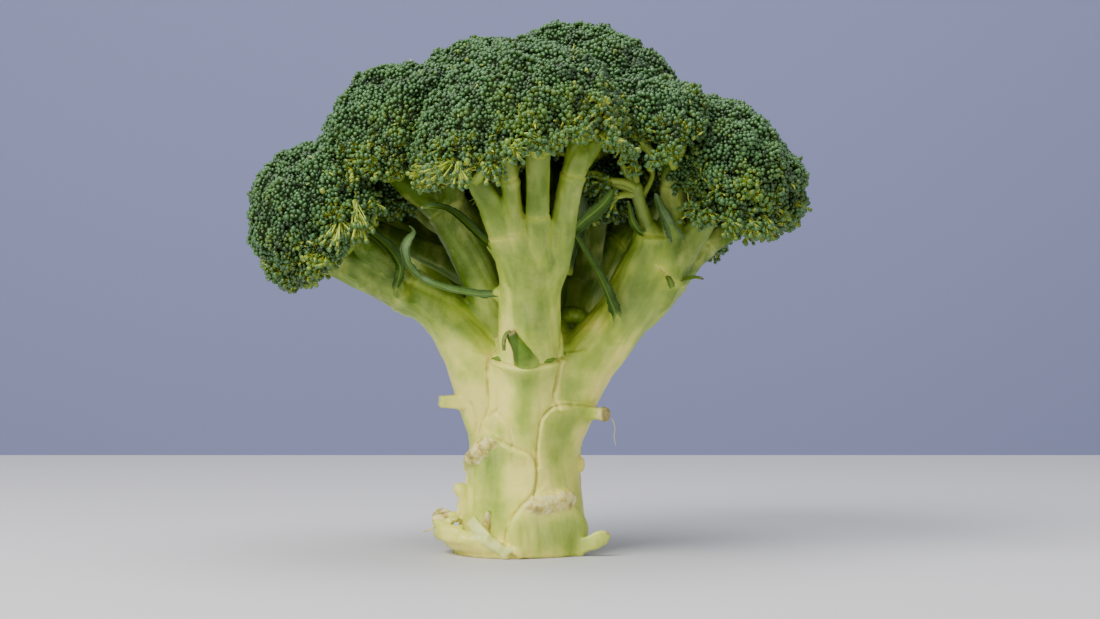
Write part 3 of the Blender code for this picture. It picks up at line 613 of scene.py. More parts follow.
class Field:
    """Signed distance on a grid whose lines stand closer round the stalk."""

    def __init__(self, xs, ys, zs):
        self.axes = (xs, ys, zs)
        self.f = np.full((len(xs), len(ys), len(zs)), 12.0, np.float32)

    def window(self, low, high):
        out = []
        for axis, a, b in zip(self.axes, low, high):
            out.append(slice(max(0, int(np.searchsorted(axis, a)) - 1), min(len(axis), int(np.searchsorted(axis, b)) + 1)))
        return tuple(out)

    def add_run(self, path, blend, flat=None, margin=6.0, carve=False):
        """Joins (or carves) a tube along rows (x, y, z, r), smoothly."""
        path = np.asarray(path, float)
        reach = path[:, 3].max() + margin
        w = self.window(path[:, :3].min(0) - reach, path[:, :3].max(0) + reach)
        x, y, z = (self.axes[i][w[i]] for i in range(3))
        local = np.full((len(x), len(y), len(z)), 12.0, np.float32)
        for a, b in zip(path[:-1], path[1:]):
            r = max(a[3], b[3]) + margin
            low, high = np.minimum(a[:3], b[:3]) - r, np.maximum(a[:3], b[:3]) + r
            i = slice(int(np.searchsorted(x, low[0])), int(np.searchsorted(x, high[0])))
            j = slice(int(np.searchsorted(y, low[1])), int(np.searchsorted(y, high[1])))
            k = slice(int(np.searchsorted(z, low[2])), int(np.searchsorted(z, high[2])))
            if i.stop <= i.start or j.stop <= j.start or k.stop <= k.start:
                continue
            way = b[:3] - a[:3]
            length = float(way @ way)
            dx = (x[i] - a[0])[:, None, None]
            dy = (y[j] - a[1])[None, :, None]
            dz = (z[k] - a[2])[None, None, :]
            t = np.clip((dx * way[0] + dy * way[1] + dz * way[2]) / max(length, 1e-9), 0, 1)
            d = np.sqrt((dx - t * way[0]) ** 2 + (dy - t * way[1]) ** 2 + (dz - t * way[2]) ** 2) - (a[3] + t * (b[3] - a[3]))
            local[i, j, k] = np.minimum(local[i, j, k], d)
        old = self.f[w]
        if carve:
            local = -local
            h = np.maximum(blend - np.abs(old - local), 0) / blend
            self.f[w] = np.maximum(old, local) + h * h * blend / 4
        else:
            h = np.maximum(blend - np.abs(old - local), 0) / blend
            self.f[w] = np.minimum(old, local) - h * h * blend / 4

    def add_lump(self, centre, radii, turn, blend):
        """Joins an ellipsoid; turn holds its three unit axes as rows."""
        centre, radii, turn = (np.asarray(v, float) for v in (centre, radii, turn))
        reach = radii.max() + 4
        w = self.window(centre - reach, centre + reach)
        x, y, z = (self.axes[i][w[i]] for i in range(3))
        p = np.stack(np.meshgrid(x - centre[0], y - centre[1], z - centre[2], indexing="ij"), -1)
        q = p @ turn.T
        k0 = np.sqrt(((q / radii) ** 2).sum(-1))
        k1 = np.sqrt(((q / (radii * radii)) ** 2).sum(-1))
        local = (k0 * (k0 - 1) / np.maximum(k1, 1e-6)).astype(np.float32)
        old = self.f[w]
        h = np.maximum(blend - np.abs(old - local), 0) / blend
        self.f[w] = np.minimum(old, local) - h * h * blend / 4

    def add_box(self, centre, half, turn, edge, blend):
        """Joins a box with rounded edges; turn holds its three unit axes as rows."""
        centre, half, turn = (np.asarray(v, float) for v in (centre, half, turn))
        reach = np.linalg.norm(half) + 4
        w = self.window(centre - reach, centre + reach)
        x, y, z = (self.axes[i][w[i]] for i in range(3))
        p = np.stack(np.meshgrid(x - centre[0], y - centre[1], z - centre[2], indexing="ij"), -1)
        q = np.abs(p @ turn.T) - (half - edge)
        local = (np.sqrt((np.maximum(q, 0) ** 2).sum(-1)) + np.minimum(q.max(-1), 0) - edge).astype(np.float32)
        old = self.f[w]
        h = np.maximum(blend - np.abs(old - local), 0) / blend
        self.f[w] = np.minimum(old, local) - h * h * blend / 4

    def clip_below(self, z0, blend):
        local = (z0 - self.axes[2])[None, None, :]
        h = np.maximum(blend - np.abs(self.f - local), 0) / blend
        self.f = (np.maximum(self.f, local) + h * h * blend / 4).astype(np.float32)

    def surface(self):
        """Vertices and quads of the zero surface, one vertex in each crossed cell."""
        f = self.f
        inside = f < 0
        nx, ny, nz = f.shape
        total = np.zeros((nx - 1, ny - 1, nz - 1), np.int8)
        corners = [(a, b, c) for a in (0, 1) for b in (0, 1) for c in (0, 1)]
        for a, b, c in corners:
            total += inside[a : nx - 1 + a, b : ny - 1 + b, c : nz - 1 + c]
        cells = np.argwhere((total > 0) & (total < 8))
        number = np.full(total.shape, -1, np.int64)
        number[tuple(cells.T)] = np.arange(len(cells))
        value = np.stack([f[cells[:, 0] + a, cells[:, 1] + b, cells[:, 2] + c] for a, b, c in corners], 1)
        place = np.stack([np.stack([self.axes[0][cells[:, 0] + a], self.axes[1][cells[:, 1] + b], self.axes[2][cells[:, 2] + c]], 1) for a, b, c in corners], 1)
        sums = np.zeros((len(cells), 3))
        hits = np.zeros(len(cells))
        for m, ca in enumerate(corners):
            for n in range(m + 1, 8):
                if sum(abs(p - q) for p, q in zip(ca, corners[n])) != 1:
                    continue
                va, vb = value[:, m], value[:, n]
                crossed = (va < 0) != (vb < 0)
                t = np.where(crossed, va / np.where(crossed, va - vb, 1), 0)[:, None]
                sums += np.where(crossed[:, None], place[:, m] * (1 - t) + place[:, n] * t, 0)
                hits += crossed
        co = sums / hits[:, None]
        quads = []
        for axis in range(3):
            u, v = (axis + 1) % 3, (axis + 2) % 3
            s0 = [slice(None)] * 3
            s1 = [slice(None)] * 3
            s0[axis], s1[axis] = slice(0, -1), slice(1, None)
            change = inside[tuple(s0)] != inside[tuple(s1)]
            at = np.argwhere(change)
            at = at[(at[:, u] > 0) & (at[:, v] > 0) & (at[:, u] < f.shape[u] - 1) & (at[:, v] < f.shape[v] - 1)]
            rings = []
            for du, dv in ((-1, -1), (0, -1), (0, 0), (-1, 0)):
                c = at.copy()
                c[:, u] += du
                c[:, v] += dv
                rings.append(number[c[:, 0], c[:, 1], c[:, 2]])
            quad = np.stack(rings, 1)
            flip = ~inside[at[:, 0], at[:, 1], at[:, 2]]
            quad[flip] = quad[flip][:, ::-1]
            quads.append(quad)
        return co, np.concatenate(quads)


def vertex_normals(co, quads):
    d1 = co[quads[:, 2]] - co[quads[:, 0]]
    d2 = co[quads[:, 3]] - co[quads[:, 1]]
    n = np.cross(d1, d2)
    out = np.zeros_like(co)
    for k in range(4):
        np.add.at(out, quads[:, k], n)
    return unit(out)


def relax(co, quads, times, weight):
    for _ in range(times):
        total = np.zeros_like(co)
        count = np.zeros(len(co))
        for k in range(4):
            a, b = quads[:, k], quads[:, (k + 1) % 4]
            np.add.at(total, a, co[b])
            np.add.at(total, b, co[a])
            np.add.at(count, a, 1)
            np.add.at(count, b, 1)
        co = co + weight * (total / np.maximum(count, 1)[:, None] - co)
    return co


def stalk_radius(z):
    rows = np.array(STALK)
    return np.interp(z, rows[:, 2], rows[:, 3]), np.interp(z, rows[:, 2], rows[:, 0]), np.interp(z, rows[:, 2], rows[:, 1])


def on_stalk(degrees, z, out=0.0):
    """A point on the stalk's surface: degrees round from the front, + right."""
    r, cx, cy = stalk_radius(z)
    a = math.radians(degrees)
    return np.array([cx + (r + out) * math.sin(a), cy - (r + out) * math.cos(a), z])


def facing_axes(degrees, lift=0.0):
    """Axes across, outward and up at that place on the stalk, as rows."""
    a = math.radians(degrees)
    outward = unit(np.array([math.sin(a), -math.cos(a), lift]))
    across = np.array([math.cos(a), math.sin(a), 0.0])
    return np.array([across, outward, np.cross(across, outward)])


def line_distance(s, z, points):
    """Distance from places (s, z) to a line, and on which side of it they lie."""
    best = np.full(len(s), 1e9)
    side = np.zeros(len(s))
    for (s0, z0), (s1, z1) in zip(points[:-1], points[1:]):
        ds, dz = s1 - s0, z1 - z0
        t = np.clip(((s - s0) * ds + (z - z0) * dz) / max(ds * ds + dz * dz, 1e-9), 0, 1)
        d = np.hypot(s - s0 - t * ds, z - z0 - t * dz)
        closer = d < best
        best = np.where(closer, d, best)
        side = np.where(closer, np.sign(ds * (z - z0) - dz * (s - s0)), side)
    return best, side


# Lines on the stalk's skin where one leaf base overlaps the next: depth, lift
# of the overlapping side, that side, and places (degrees from the front, height).
CREASES = [
    (0.55, 0.55, 1, [(-25, 87), (-26, 78), (-28, 72), (-35, 64.5), (-36, 58.5), (-37, 50), (-47, 42.5), (-56, 38)]),
    (0.35, 0.00, 1, [(-27, 55), (-28, 49), (-37, 45.6)]),
    (0.30, 0.35, -1, [(-37, 46.5), (-30, 48), (-23, 46.4), (-16, 42.8), (-12, 38), (-12, 36)]),
    (0.55, 0.65, 1, [(32, 85), (29, 75), (25, 68), (24, 58.6), (22, 53.4), (26, 50.1)]),
    (0.50, 0.80, 1, [(70, 49.0), (42, 50.4), (26, 50.4), (17, 48.1), (12, 44.6), (12, 40.2), (12, 35.9), (14, 30.3)]),
    (0.45, 0.95, -1, [(-29, 39.8), (-20, 37.9), (-6, 35.8), (6, 34.2), (12, 31.4), (13, 26.1), (10, 21.2)]),
    (0.60, 1.00, 1, [(9, 20.6), (1, 18.6), (-8, 14.9), (-16, 10.2), (-18, 6.2), (-13, 2.4), (-6, 0.4)]),
    (0.40, 0.60, -1, [(-88, 25), (-82, 20.2), (-72, 16.4), (-70, 11.0)]),
    (0.35, 0.30, -1, [(-52, 51), (-49, 45), (-58, 39), (-64, 36)]),
    (0.50, 1.15, -1, [(-31, 66.2), (-22, 65.0), (-9, 63.7), (0, 63.4), (10, 63.8), (20, 65.0), (29, 66.2)]),
    (0.50, 0.80, 1, [(238, 30.6), (243, 24), (238, 14), (228, 5)]),
    (0.45, 0.80, -1, [(178, 28), (172, 22), (174, 14), (180, 6)]),
    (0.50, 0.80, -1, [(118, 41.4), (112, 34), (114, 26), (122, 16)]),
    (0.45, 0.80, 1, [(168, 40.4), (173, 35), (171, 30)]),
    (0.50, 0.60, 1, [(205, 66), (198, 56), (196, 46), (202, 36)]),
    (0.50, 0.60, -1, [(150, 64), (156, 54), (154, 44)]),
    (0.40, 0.50, 1, [(100, 60), (96, 48), (104, 38), (100, 26)]),
    (0.40, 0.50, 1, [(262, 54), (256, 42), (262, 32), (258, 18)]),
]

# Torn or cut places: centre, reach along each axis, degrees it faces.
CUTS = [
    ((27.0, -13.0, 47.3), (5.2, 3.0, 3.6), 66),
    (tuple(on_stalk(-62, 33.0, 0.8)), (5.2, 2.6, 3.2), -62),
    (tuple(on_stalk(-50, 35.2, 0.8)), (4.2, 2.4, 2.6), -50),
    (tuple(on_stalk(-38, 37.6, 0.6)), (4.2, 2.2, 1.9), -38),
    (tuple(on_stalk(14, 16.9, 1.2)), (5.2, 3.4, 2.7), 14),
    (tuple(on_stalk(28, 18.0, 1.2)), (6.4, 3.4, 3.0), 28),
    (tuple(on_stalk(44, 19.0, 1.2)), (5.6, 3.4, 3.0), 44),
    (tuple(on_stalk(-84, 13.0, 9.4)), (5.2, 5.0, 2.2), -84),
    (tuple(on_stalk(-60, 11.6, 6.4)), (4.4, 3.2, 1.3), -60),
    (tuple(on_stalk(-36, 11.8, 1.4)), (1.5, 2.4, 3.8), -36),
    ((27.6, -13.8, 8.0), (1.4, 2.0, 1.0), 60),
    (tuple(on_stalk(210, 28.2, 4.8)), (6.4, 2.0, 2.4), 210),
    (tuple(on_stalk(144, 41.2, 4.8)), (6.0, 2.0, 2.3), 144),
    (tuple(on_stalk(160, 9.8, 5.0)), (7.4, 2.0, 2.6), 160),
]
FRESH = [
    ((-29.2, -7.0, 51.2), (4.6, 1.6, 2.6), -78),
    *[(tuple(on_stalk(a, z, 5.0)), (2.6, 2.4, 2.3), a) for a, z in ((-44, 11.2), (-39, 9.4), (-34, 7.7), (-29, 6.0), (-24, 4.4), (-19, 3.0), (-14, 1.8))],
]


# Greener (+) and paler (-) places: centre, radius, how much. Most are the skin's own patches; the strong greener ones
# on the inner branches behind (y 6 to 12, z 91 to 110) are painted shade, and the paler ones on the left flank of the
# front branch (x -4 to -7.5, z 76 to 99) are a painted highlight.
TINTS = [
    (tuple(on_stalk(-30, 34.0)), 5.5, 0.30), (tuple(on_stalk(-46, 28.0)), 6.0, 0.18), (tuple(on_stalk(-22, 12.0)), 5.0, 0.20), (tuple(on_stalk(-10, 28.0)), 5.0, -0.20),
    ((20.0, -13.5, 48.2), 4.5, 0.34), (tuple(on_stalk(34, 42.0)), 7.0, 0.18), (tuple(on_stalk(20, 26.0)), 5.5, -0.24), (tuple(on_stalk(50, 10.0)), 6.0, 0.18),
    ((-27.5, -8.5, 49.6), 4.0, 0.26), ((0.0, -26.0, 68.0), 4.5, 0.16), ((0.5, -23.5, 60.5), 5.0, 0.08), ((-9.0, -22.0, 56.0), 4.0, -0.20), ((9.0, -21.0, 54.0), 4.0, -0.20),
    ((-7.5, -24.0, 76.0), 6.5, -0.30), ((-7.0, -29.0, 88.0), 5.5, -0.26), ((-4.0, -37.0, 99.0), 4.0, -0.18), ((4.0, -30.0, 82.0), 5.0, 0.16), ((6.0, -36.0, 95.0), 4.5, 0.16),
    ((26.0, -15.0, 66.0), 6.0, 0.22), ((36.0, -17.0, 84.0), 6.0, 0.20), ((47.0, -17.0, 95.0), 5.0, -0.22), ((30.0, -12.0, 70.0), 3.5, -0.18), ((52.0, -17.0, 104.0), 5.0, 0.18),
    ((-17.0, -16.0, 66.0), 7.0, -0.16), ((-34.0, -16.0, 84.0), 6.0, 0.20), ((-46.0, -17.0, 92.0), 6.0, 0.16), ((-21.0, -14.0, 54.0), 5.0, -0.18),
    ((-15.0, 8.0, 91.0), 7.0, 0.35), ((-27.0, 9.0, 98.0), 7.0, 0.40), ((21.0, 12.0, 99.0), 6.5, 0.55), ((24.0, 6.0, 110.0), 6.5, 0.50),
    ((0.0, 22.0, 40.0), 8.0, 0.16), ((14.0, 20.0, 52.0), 8.0, -0.16), ((-16.0, 14.0, 30.0), 8.0, 0.16), ((22.0, 4.0, 34.0), 7.0, 0.16),
]
# Brown, corky spots: centre, radius, how strong.
CORK = [
    (tuple(on_stalk(-60, 33.2, 2.6)), 2.2, 0.85), (tuple(on_stalk(-45, 36.2, 2.0)), 1.3, 0.50), (tuple(on_stalk(11, 16.0, 2.2)), 1.8, 0.80), (tuple(on_stalk(46, 16.8, 2.6)), 1.8, 0.85),
    (tuple(on_stalk(-86, 13.6, 9.6)), 2.6, 0.60), (tuple(on_stalk(-74, 12.6, 8.8)), 2.0, 0.45), (tuple(on_stalk(-62, 12.4, 7.0)), 1.6, 0.40), (tuple(on_stalk(-36, 13.0, 2.0)), 2.0, 0.50),
    (tuple(on_stalk(210, 28.6, 6.0)), 1.8, 0.50), (tuple(on_stalk(144, 41.6, 6.0)), 1.8, 0.50), (tuple(on_stalk(160, 9.8, 6.4)), 2.2, 0.50), (tuple(on_stalk(-90, 21.8, 1.6)), 1.2, 0.35),
    ((-29.4, -7.2, 51.6), 1.4, 0.30), ((27.2, -13.8, 7.8), 1.4, 0.45),
]


def build_stem(material):
    fine, coarse = ((0.46, 0.66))
    xs = axis_points(-84.0, 88.0, -31.0, 32.0, fine, coarse)
    ys = axis_points(-56.0, 76.0, -31.0, 31.0, fine, coarse)
    zs = axis_points(-3.0, 148.0, -1.0, 66.0, fine, coarse)
    field = Field(xs, ys, zs)
    field.add_run(catmull(STALK, 3.0), 1.0)
    for name, runs in BRANCHES.items():
        for i, run in enumerate(runs):
            thin = max(r[3] for r in run[-3:])
            field.add_run(catmull(run, 2.2), 2.4 if i == 0 else (1.0 if thin < 5 else 1.8))

    # cut leaf stalks
    left = np.array([(0.99, 0.10, -0.03), (-0.10, 0.99, 0.0), (0.03, 0.0, 1.0)])
    field.add_box((-21.6, -7.0, 50.9), (7.5, 5.6, 2.0), left, 0.5, 1.2)
    lip = [(*on_stalk(a, z, 0.5), 1.15) for a, z in ((24, 50.2), (34, 50.4), (46, 50.1), (58, 49.4), (70, 48.8), (84, 48.2), (98, 47.6))]
    field.add_run(lip, 1.2)
    field.add_box((23.6, -11.2, 47.4), (3.4, 3.6, 1.9), facing_axes(66, -0.1), 0.9, 1.4)
    field.add_lump((26.0, -12.4, 47.0), (2.6, 1.9, 2.5), facing_axes(66), 0.8)
    field.add_run([(*on_stalk(a, z, 0.2), r) for a, z, r in ((-92, 29.0, 1.2), (-80, 30.6, 2.0), (-68, 32.0, 2.5), (-56, 34.2, 2.4), (-44, 36.6, 1.7), (-34, 38.8, 1.5), (-28, 39.2, 1.0))], 1.6)
    field.add_lump((-22.0, -5.0, 21.6), (2.6, 2.4, 2.4), np.eye(3), 1.4)
    field.add_run([(-21.0, -6.0, 20.0, 1.8), (-20.6, -6.6, 14.0, 2.0), (-20.0, -7.0, 8.0, 1.6)], 2.0)
    for a, z, wide in ((13, 16.9, 4.6), (28, 18.0, 6.4), (44, 19.0, 5.0)):
        field.add_lump(on_stalk(a, z, 0.0), (wide, 2.3, 3.0), facing_axes(a, 0.05), 1.4)
    field.add_lump(on_stalk(28, 8.6, -2.4), (14.5, 3.6, 9.6), facing_axes(28), 2.0)
    field.add_lump((18.4, -4.0, 29.8), (1.5, 1.7, 2.7), np.eye(3), 1.2)
    # the torn collar at the left of the foot
    collar = (
        (1.8, 1.9, 2.0, -116, -8), (3.6, 1.8, 5.0, -114, -20), (5.8, 1.6, 7.8, -110, -32), (7.8, 1.35, 9.0, -106, -46), (9.6, 1.15, 9.6, -103, -58), (11.1, 1.0, 9.8, -100, -68), (12.4, 0.85, 9.7, -97, -75), (13.5, 0.65, 9.5, -95, -82),
    )
    for z, r, out, a0, a1 in collar:
        rows = []
        for t in np.linspace(0, 1, 14):
            a = a0 + (a1 - a0) * t
            fade = math.sin(math.pi * (0.12 + 0.80 * t)) ** 0.5
            rows.append((*on_stalk(a, z + 0.7 * math.sin(t * 9 + z) * (z > 6), out * (0.55 + 0.45 * math.cos(math.pi * max(0, t - 0.35) / 1.3)) * (0.6 + 0.4 * fade)), r))
        field.add_run(rows, 1.9)
    def slip(start, end, outward, half_wide, half_thick, soft):
        start, end = np.array(start, float), np.array(end, float)
        along = unit(end - start)
        out = np.array(outward, float)
        out = unit(out - along * (out @ along))
        field.add_box((start + end) / 2, (np.linalg.norm(end - start) / 2, half_thick, half_wide), np.array([along, out, np.cross(along, out)]), half_thick * 0.6, soft)

    slip(on_stalk(-47, 12.4, 4.2), on_stalk(-29, 6.0, 4.2), (-0.5, -0.8, 0.35), 2.1, 0.9, 0.7)
    slip(on_stalk(-31, 6.8, 4.3), on_stalk(-12, 1.2, 3.2), (-0.35, -0.9, 0.35), 1.7, 0.9, 0.8)
    field.add_run([(*on_stalk(-37, 8.0, 1.0), 1.0), (*on_stalk(-36, 12.0, 1.3), 0.95), (*on_stalk(-35, 15.2, 1.0), 0.7)], 0.8)
    # the ear at the right of the foot
    slip((15.0, -12.6, 1.8), (23.4, -13.6, 5.0), (0.2, -1.0, 0.25), 2.3, 0.8, 1.2)
    field.add_lump((23.6, -13.7, 5.4), (4.8, 1.0, 2.8), np.array([(0.912, -0.020, 0.410), (0.0, -0.999, -0.049), (0.411, 0.045, -0.911)]), 0.9)
    # cut leaf stalks at the back
    for a, z, half in ((210, 28.0, (6.6, 5.4, 2.0)), (144, 41.0, (6.2, 5.2, 1.9)), (160, 9.6, (7.6, 5.4, 2.1))):
        field.add_box(on_stalk(a, z, 1.0), half, facing_axes(a, 0.12), 0.7, 1.6)
        field.add_lump(on_stalk(a, z - 11.0, -1.6), (half[0] * 1.3, 2.8, 12.0), facing_axes(a), 2.0)
    # the swollen foot of the bract in the middle and of the leaves
    field.add_run([(-9.8, -17.2, 66.0, 0.9), (-7.6, -20.6, 65.0, 1.1), (-4.4, -23.0, 64.0, 1.3), (0.0, -24.3, 63.5, 1.4), (4.0, -23.8, 63.9, 1.3), (7.6, -22.0, 64.8, 1.1), (9.8, -20.2, 65.6, 0.9)], 1.3)
    field.add_lump((-1.0, -22.4, 63.2), (4.8, 2.2, 2.6), np.eye(3), 2.2)
    field.add_run([(29.8, -15.2, 75.4, 2.6), (29.6, -16.6, 79.0, 2.2), (29.0, -18.2, 82.4, 1.5)], 2.4)
    field.add_run([(9.4, -27.0, 96.0, 2.4), (10.8, -29.6, 99.0, 2.0), (12.0, -31.2, 102.0, 1.5)], 2.2)
    field.add_run([(-7.4, -26.5, 98.6, 2.4), (-9.2, -29.4, 100.8, 1.9), (-11.2, -31.2, 102.6, 1.4)], 2.0)
    field.add_run([(-3.0, -20.0, 86.0, 2.6), (-7.0, -22.2, 87.2, 2.2), (-9.4, -23.6, 87.0, 1.5)], 2.2)
    field.add_run([(-39.6, -15.8, 86.0, 2.6), (-41.6, -18.6, 87.6, 2.1), (-41.6, -20.2, 90.4, 1.5)], 2.4)
    field.add_run([(48.8, -15.0, 103.6, 2.6), (49.4, -17.8, 106.6, 2.3), (47.8, -20.6, 109.4, 1.7)], 2.2)
    field.add_lump((46.4, -16.0, 91.4), (3.6, 2.2, 2.8), np.eye(3), 2.0)
    field.add_lump((50.6, -13.8, 91.4), (3.0, 1.8, 2.2), np.eye(3), 2.0)
    field.add_lump((16.0, -4.0, 80.0), (4.6, 5.0, 3.0), np.eye(3), 1.2)
    field.clip_below(0.0, 1.2)
    co, quads = field.surface()
    co = relax(co, quads, 2, 0.5)

    # each point's nearest run gives a place along it, for streaks and ridges
    spots, ways, lengths, owners = [], [], [], []
    runs = [STALK] + [run for runs in BRANCHES.values() for run in runs]
    for index, run in enumerate(runs):
        path = catmull(run, 4.0)
        step = np.linalg.norm(np.diff(path[:, :3], axis=0), axis=1)
        spots.append(path)
        ways.append(unit(np.gradient(path[:, :3], axis=0)))
        lengths.append(np.concatenate([[0], np.cumsum(step)]))
        owners.append(np.full(len(path), index))
    spots, ways, lengths, owners = (np.concatenate(v) for v in (spots, ways, lengths, owners))
    nearest = np.zeros(len(co), np.int64)
    for start in range(0, len(co), 20000):
        part = co[start : start + 20000]
        d = np.linalg.norm(part[:, None] - spots[None, :, :3], axis=2) - spots[None, :, 3]
        nearest[start : start + 20000] = d.argmin(1)
    rel = co - spots[nearest, :3]
    forward = (rel * ways[nearest]).sum(1)
    across = rel - forward[:, None] * ways[nearest]
    place = across * 0.34 + np.array([0.31, 0.22, 0.19]) * ((lengths[nearest] + forward) * 0.13 + owners[nearest] * 7.7)[:, None]
    streak = fbm(place, 3, 19)

    normal = vertex_normals(co, quads)
    z = co[:, 2]
    r, cx, cy = stalk_radius(np.clip(z, 0, 66))
    angle = np.degrees(np.arctan2(co[:, 0] - cx, -(co[:, 1] - cy)))
    radial = np.hypot(co[:, 0] - cx, co[:, 1] - cy)
    on_trunk = smoothstep(96.0, 78.0, z) * smoothstep(9.0, 4.0, radial - r - np.maximum(0, z - 52) * 0.45)
    crease = np.zeros(len(co))
    push = np.zeros(len(co))
    scale = math.radians(1.0) * 20.5
    wobble = 0.80 + 0.35 * vnoise(co * 0.35, 5)
    for depth, lift, side, line in CREASES:
        pts = catmull([(a, b, 0.0) for a, b in line], 2.0)[:, :2]
        a = np.where(angle < 0, angle + 360, angle) if pts[:, 0].max() > 95 else angle
        near = (z < 94) & (on_trunk > 0)
        d = np.full(len(co), 1e3)
        sign = np.zeros(len(co))
        d[near], sign[near] = line_distance(a[near] * scale, z[near], pts * np.array([scale, 1.0]))
        shape = np.exp(-(d / 0.56) ** 2) * wobble
        crease = np.maximum(crease, shape * on_trunk * (depth / 0.6))
        push = push - 1.30 * depth * shape * on_trunk + 1.15 * lift * on_trunk * (sign == side) * np.exp(-(d / 4.6) ** 2) * smoothstep(0.0, 0.9, d)
    rings = np.zeros(len(co))
    for centre, direction, size in RINGS:
        rel = co - np.array(centre)
        direction = unit(np.array(direction, float))
        ahead = rel @ direction
        round_ = np.linalg.norm(rel - ahead[:, None] * direction, axis=1)
        ahead = ahead + 0.5 * vnoise(co * 0.25, 77)
        near = smoothstep(size * 1.25, size * 0.95, round_)
        push = push + near * (-0.34 * np.exp(-(ahead / 0.42) ** 2) + 0.30 * np.exp(-((ahead + 1.3) / 1.0) ** 2))
        crease = np.maximum(crease, 0.75 * near * np.exp(-(ahead / 0.45) ** 2) * wobble)
        rings = np.maximum(rings, near * np.exp(-((ahead + 0.6) / 2.2) ** 2))
    upper = smoothstep(50, 80, z)
    push = push + 0.34 * fbm(co * np.array([0.10, 0.10, 0.05]), 3, 11) + (0.30 + 0.34 * upper) * streak + 0.06 * vnoise(co * 0.9, 23)

    cut = np.zeros(len(co))
    fresh = np.zeros(len(co))
    for places, out in ((CUTS, cut), (FRESH, fresh)):
        for centre, reach, degrees in places:
            rel = (co - np.array(centre)) @ facing_axes(degrees).T
            k = np.sqrt(((rel / np.array(reach)) ** 2).sum(1)) + 0.16 * vnoise(co * 0.7, 33)
            np.maximum(out, smoothstep(1.12, 0.86, k), out=out)
    fresh = fresh * (1 - cut)
    knob = smoothstep(1.15, 0.75, np.sqrt((((co - np.array([27.2, -13.0, 47.2])) / np.array([3.2, 3.6, 3.4])) ** 2).sum(1)))
    cork = 0.95 * knob
    for centre, size, much in CORK:
        d = np.linalg.norm(co - np.array(centre), axis=1) / size + 0.20 * vnoise(co * 0.9, 35)
        cork = np.maximum(cork, much * smoothstep(1.1, 0.5, d))
    push = push * (1 - 0.7 * np.maximum(cut, fresh)) + cut * (0.26 * vnoise(co * 0.8, 41) + 0.14 * vnoise(co * 2.0, 42))
    base_face = (z < 1.0) & (normal[:, 2] < -0.6)
    push[base_face] = 0.0
    co = co + normal * push[:, None]
    co[:, 2] = np.maximum(co[:, 2], 0.0)
    co[base_face, 2] = 0.0
    rim = np.exp(-((radial - 15.5) / 1.3) ** 2)
    cut = np.maximum(cut, np.where(base_face, 0.40 + 0.30 * rim, 0.0))
    fresh = np.where(base_face, 0.35, fresh)

    # greenness: pale low on the stalk, green in the leaf bases and up the branches; the later terms add painted shade
    # as darker green on undersides, in a crotch and on inner and shadowed branches, and the tints add painted shade and
    # a painted highlight
    green = 0.06 + 0.50 * smoothstep(56, 114, z)
    away = np.maximum(np.hypot(co[:, 0], co[:, 1] * 0.8) - 22, 0)
    green = green + 0.30 * smoothstep(2, 34, away)
    green = green + 0.27 * fbm(co * np.array([0.085, 0.085, 0.055]), 3, 61)
    panels = ((-34, 20, 12, 37, 0.34), (38, 24, 20, 48, 0.30), (24, 34, 1, 15, 0.38), (-3, 9, 36, 62, 0.22), (0, 20, 46, 63, 0.22), (-24, 9, 38, 46, 0.24), (-70, 22, 26, 48, 0.14), (-4, 12, 70, 96, 0.24),
              (42, 18, 52, 78, 0.26), (-54, 18, 56, 80, 0.22), (144, 24, 18, 40, 0.25), (210, 26, 4, 28, 0.25), (174, 16, 30, 60, 0.22), (110, 18, 30, 60, 0.2), (250, 18, 30, 60, 0.2))
    for mid, half, low, high, much in panels:
        a = np.where(angle < 0, angle + 360, angle) if mid > 95 else angle
        green = green + much * np.exp(-((a - mid) / (half * 0.72)) ** 2) * smoothstep(low - 2, low + 6, z) * smoothstep(high + 1, high - 5, z) * on_trunk
    green = green - 0.16 * np.exp(-((crease - 0.35) / 0.35) ** 2) * (crease > 0.05) - 0.20 * rings
    up = vertex_normals(co, quads)[:, 2]
    # painted shade: faces turned downward above z 70 are drawn darker green
    green = green + 0.10 * smoothstep(0.1, -0.9, up) * (z > 70)
    # painted shade: inner branches near the middle, under the heads, are marked to be drawn darker green
    deep = smoothstep(40, 22, np.hypot(co[:, 0], co[:, 1] - 9)) * smoothstep(70, 92, z) * smoothstep(-14, -4, co[:, 1])
    names = ["stalk"] + [name for name, runs_ in BRANCHES.items() for _ in runs_]
    # painted shade: branches shadowed by the heads above are drawn darker green from about z 66 to 84 upward
    shaded = {"branch_far_left": 0.14, "branch_left": 0.38, "branch_top": 0.62}
    crown_shade = np.array([shaded.get(name, 0.0) for name in names])[owners[nearest]]
    for _ in range(3):
        total, number = crown_shade.copy(), np.ones(len(co))
        for a_, b_ in ((0, 1), (1, 2), (2, 3), (3, 0)):
            np.add.at(total, quads[:, a_], crown_shade[quads[:, b_]])
            np.add.at(number, quads[:, a_], 1)
        crown_shade = total / number
    green = green + crown_shade * smoothstep(66, 84, z)
    for centre, size, much in TINTS:
        green = green + much * np.exp(-(np.linalg.norm(co - np.array(centre), axis=1) / size) ** 2)
    # painted shade: the crotch between the front and right branches is drawn dark green
    green = green + 0.45 * np.exp(-(np.linalg.norm(co - np.array([16.0, -6.0, 80.5]), axis=1) / 6.5) ** 2)
    # painted shade: darker green for those inner branches, and for branch parts high up and back from the front, under
    # the heads
    green = green + 0.42 * deep + 0.10 * smoothstep(92, 112, z) * smoothstep(-30, -20, co[:, 1])

    pile = Pile(["green", "crease", "cut", "fresh", "streak", "cork"])
    streak = streak * (0.45 + 0.65 * upper)
    pile.add(co, [quads], 0, green=green, crease=np.clip(crease, 0, 1), cut=np.clip(cut, 0, 1), fresh=fresh, streak=streak, cork=cork)
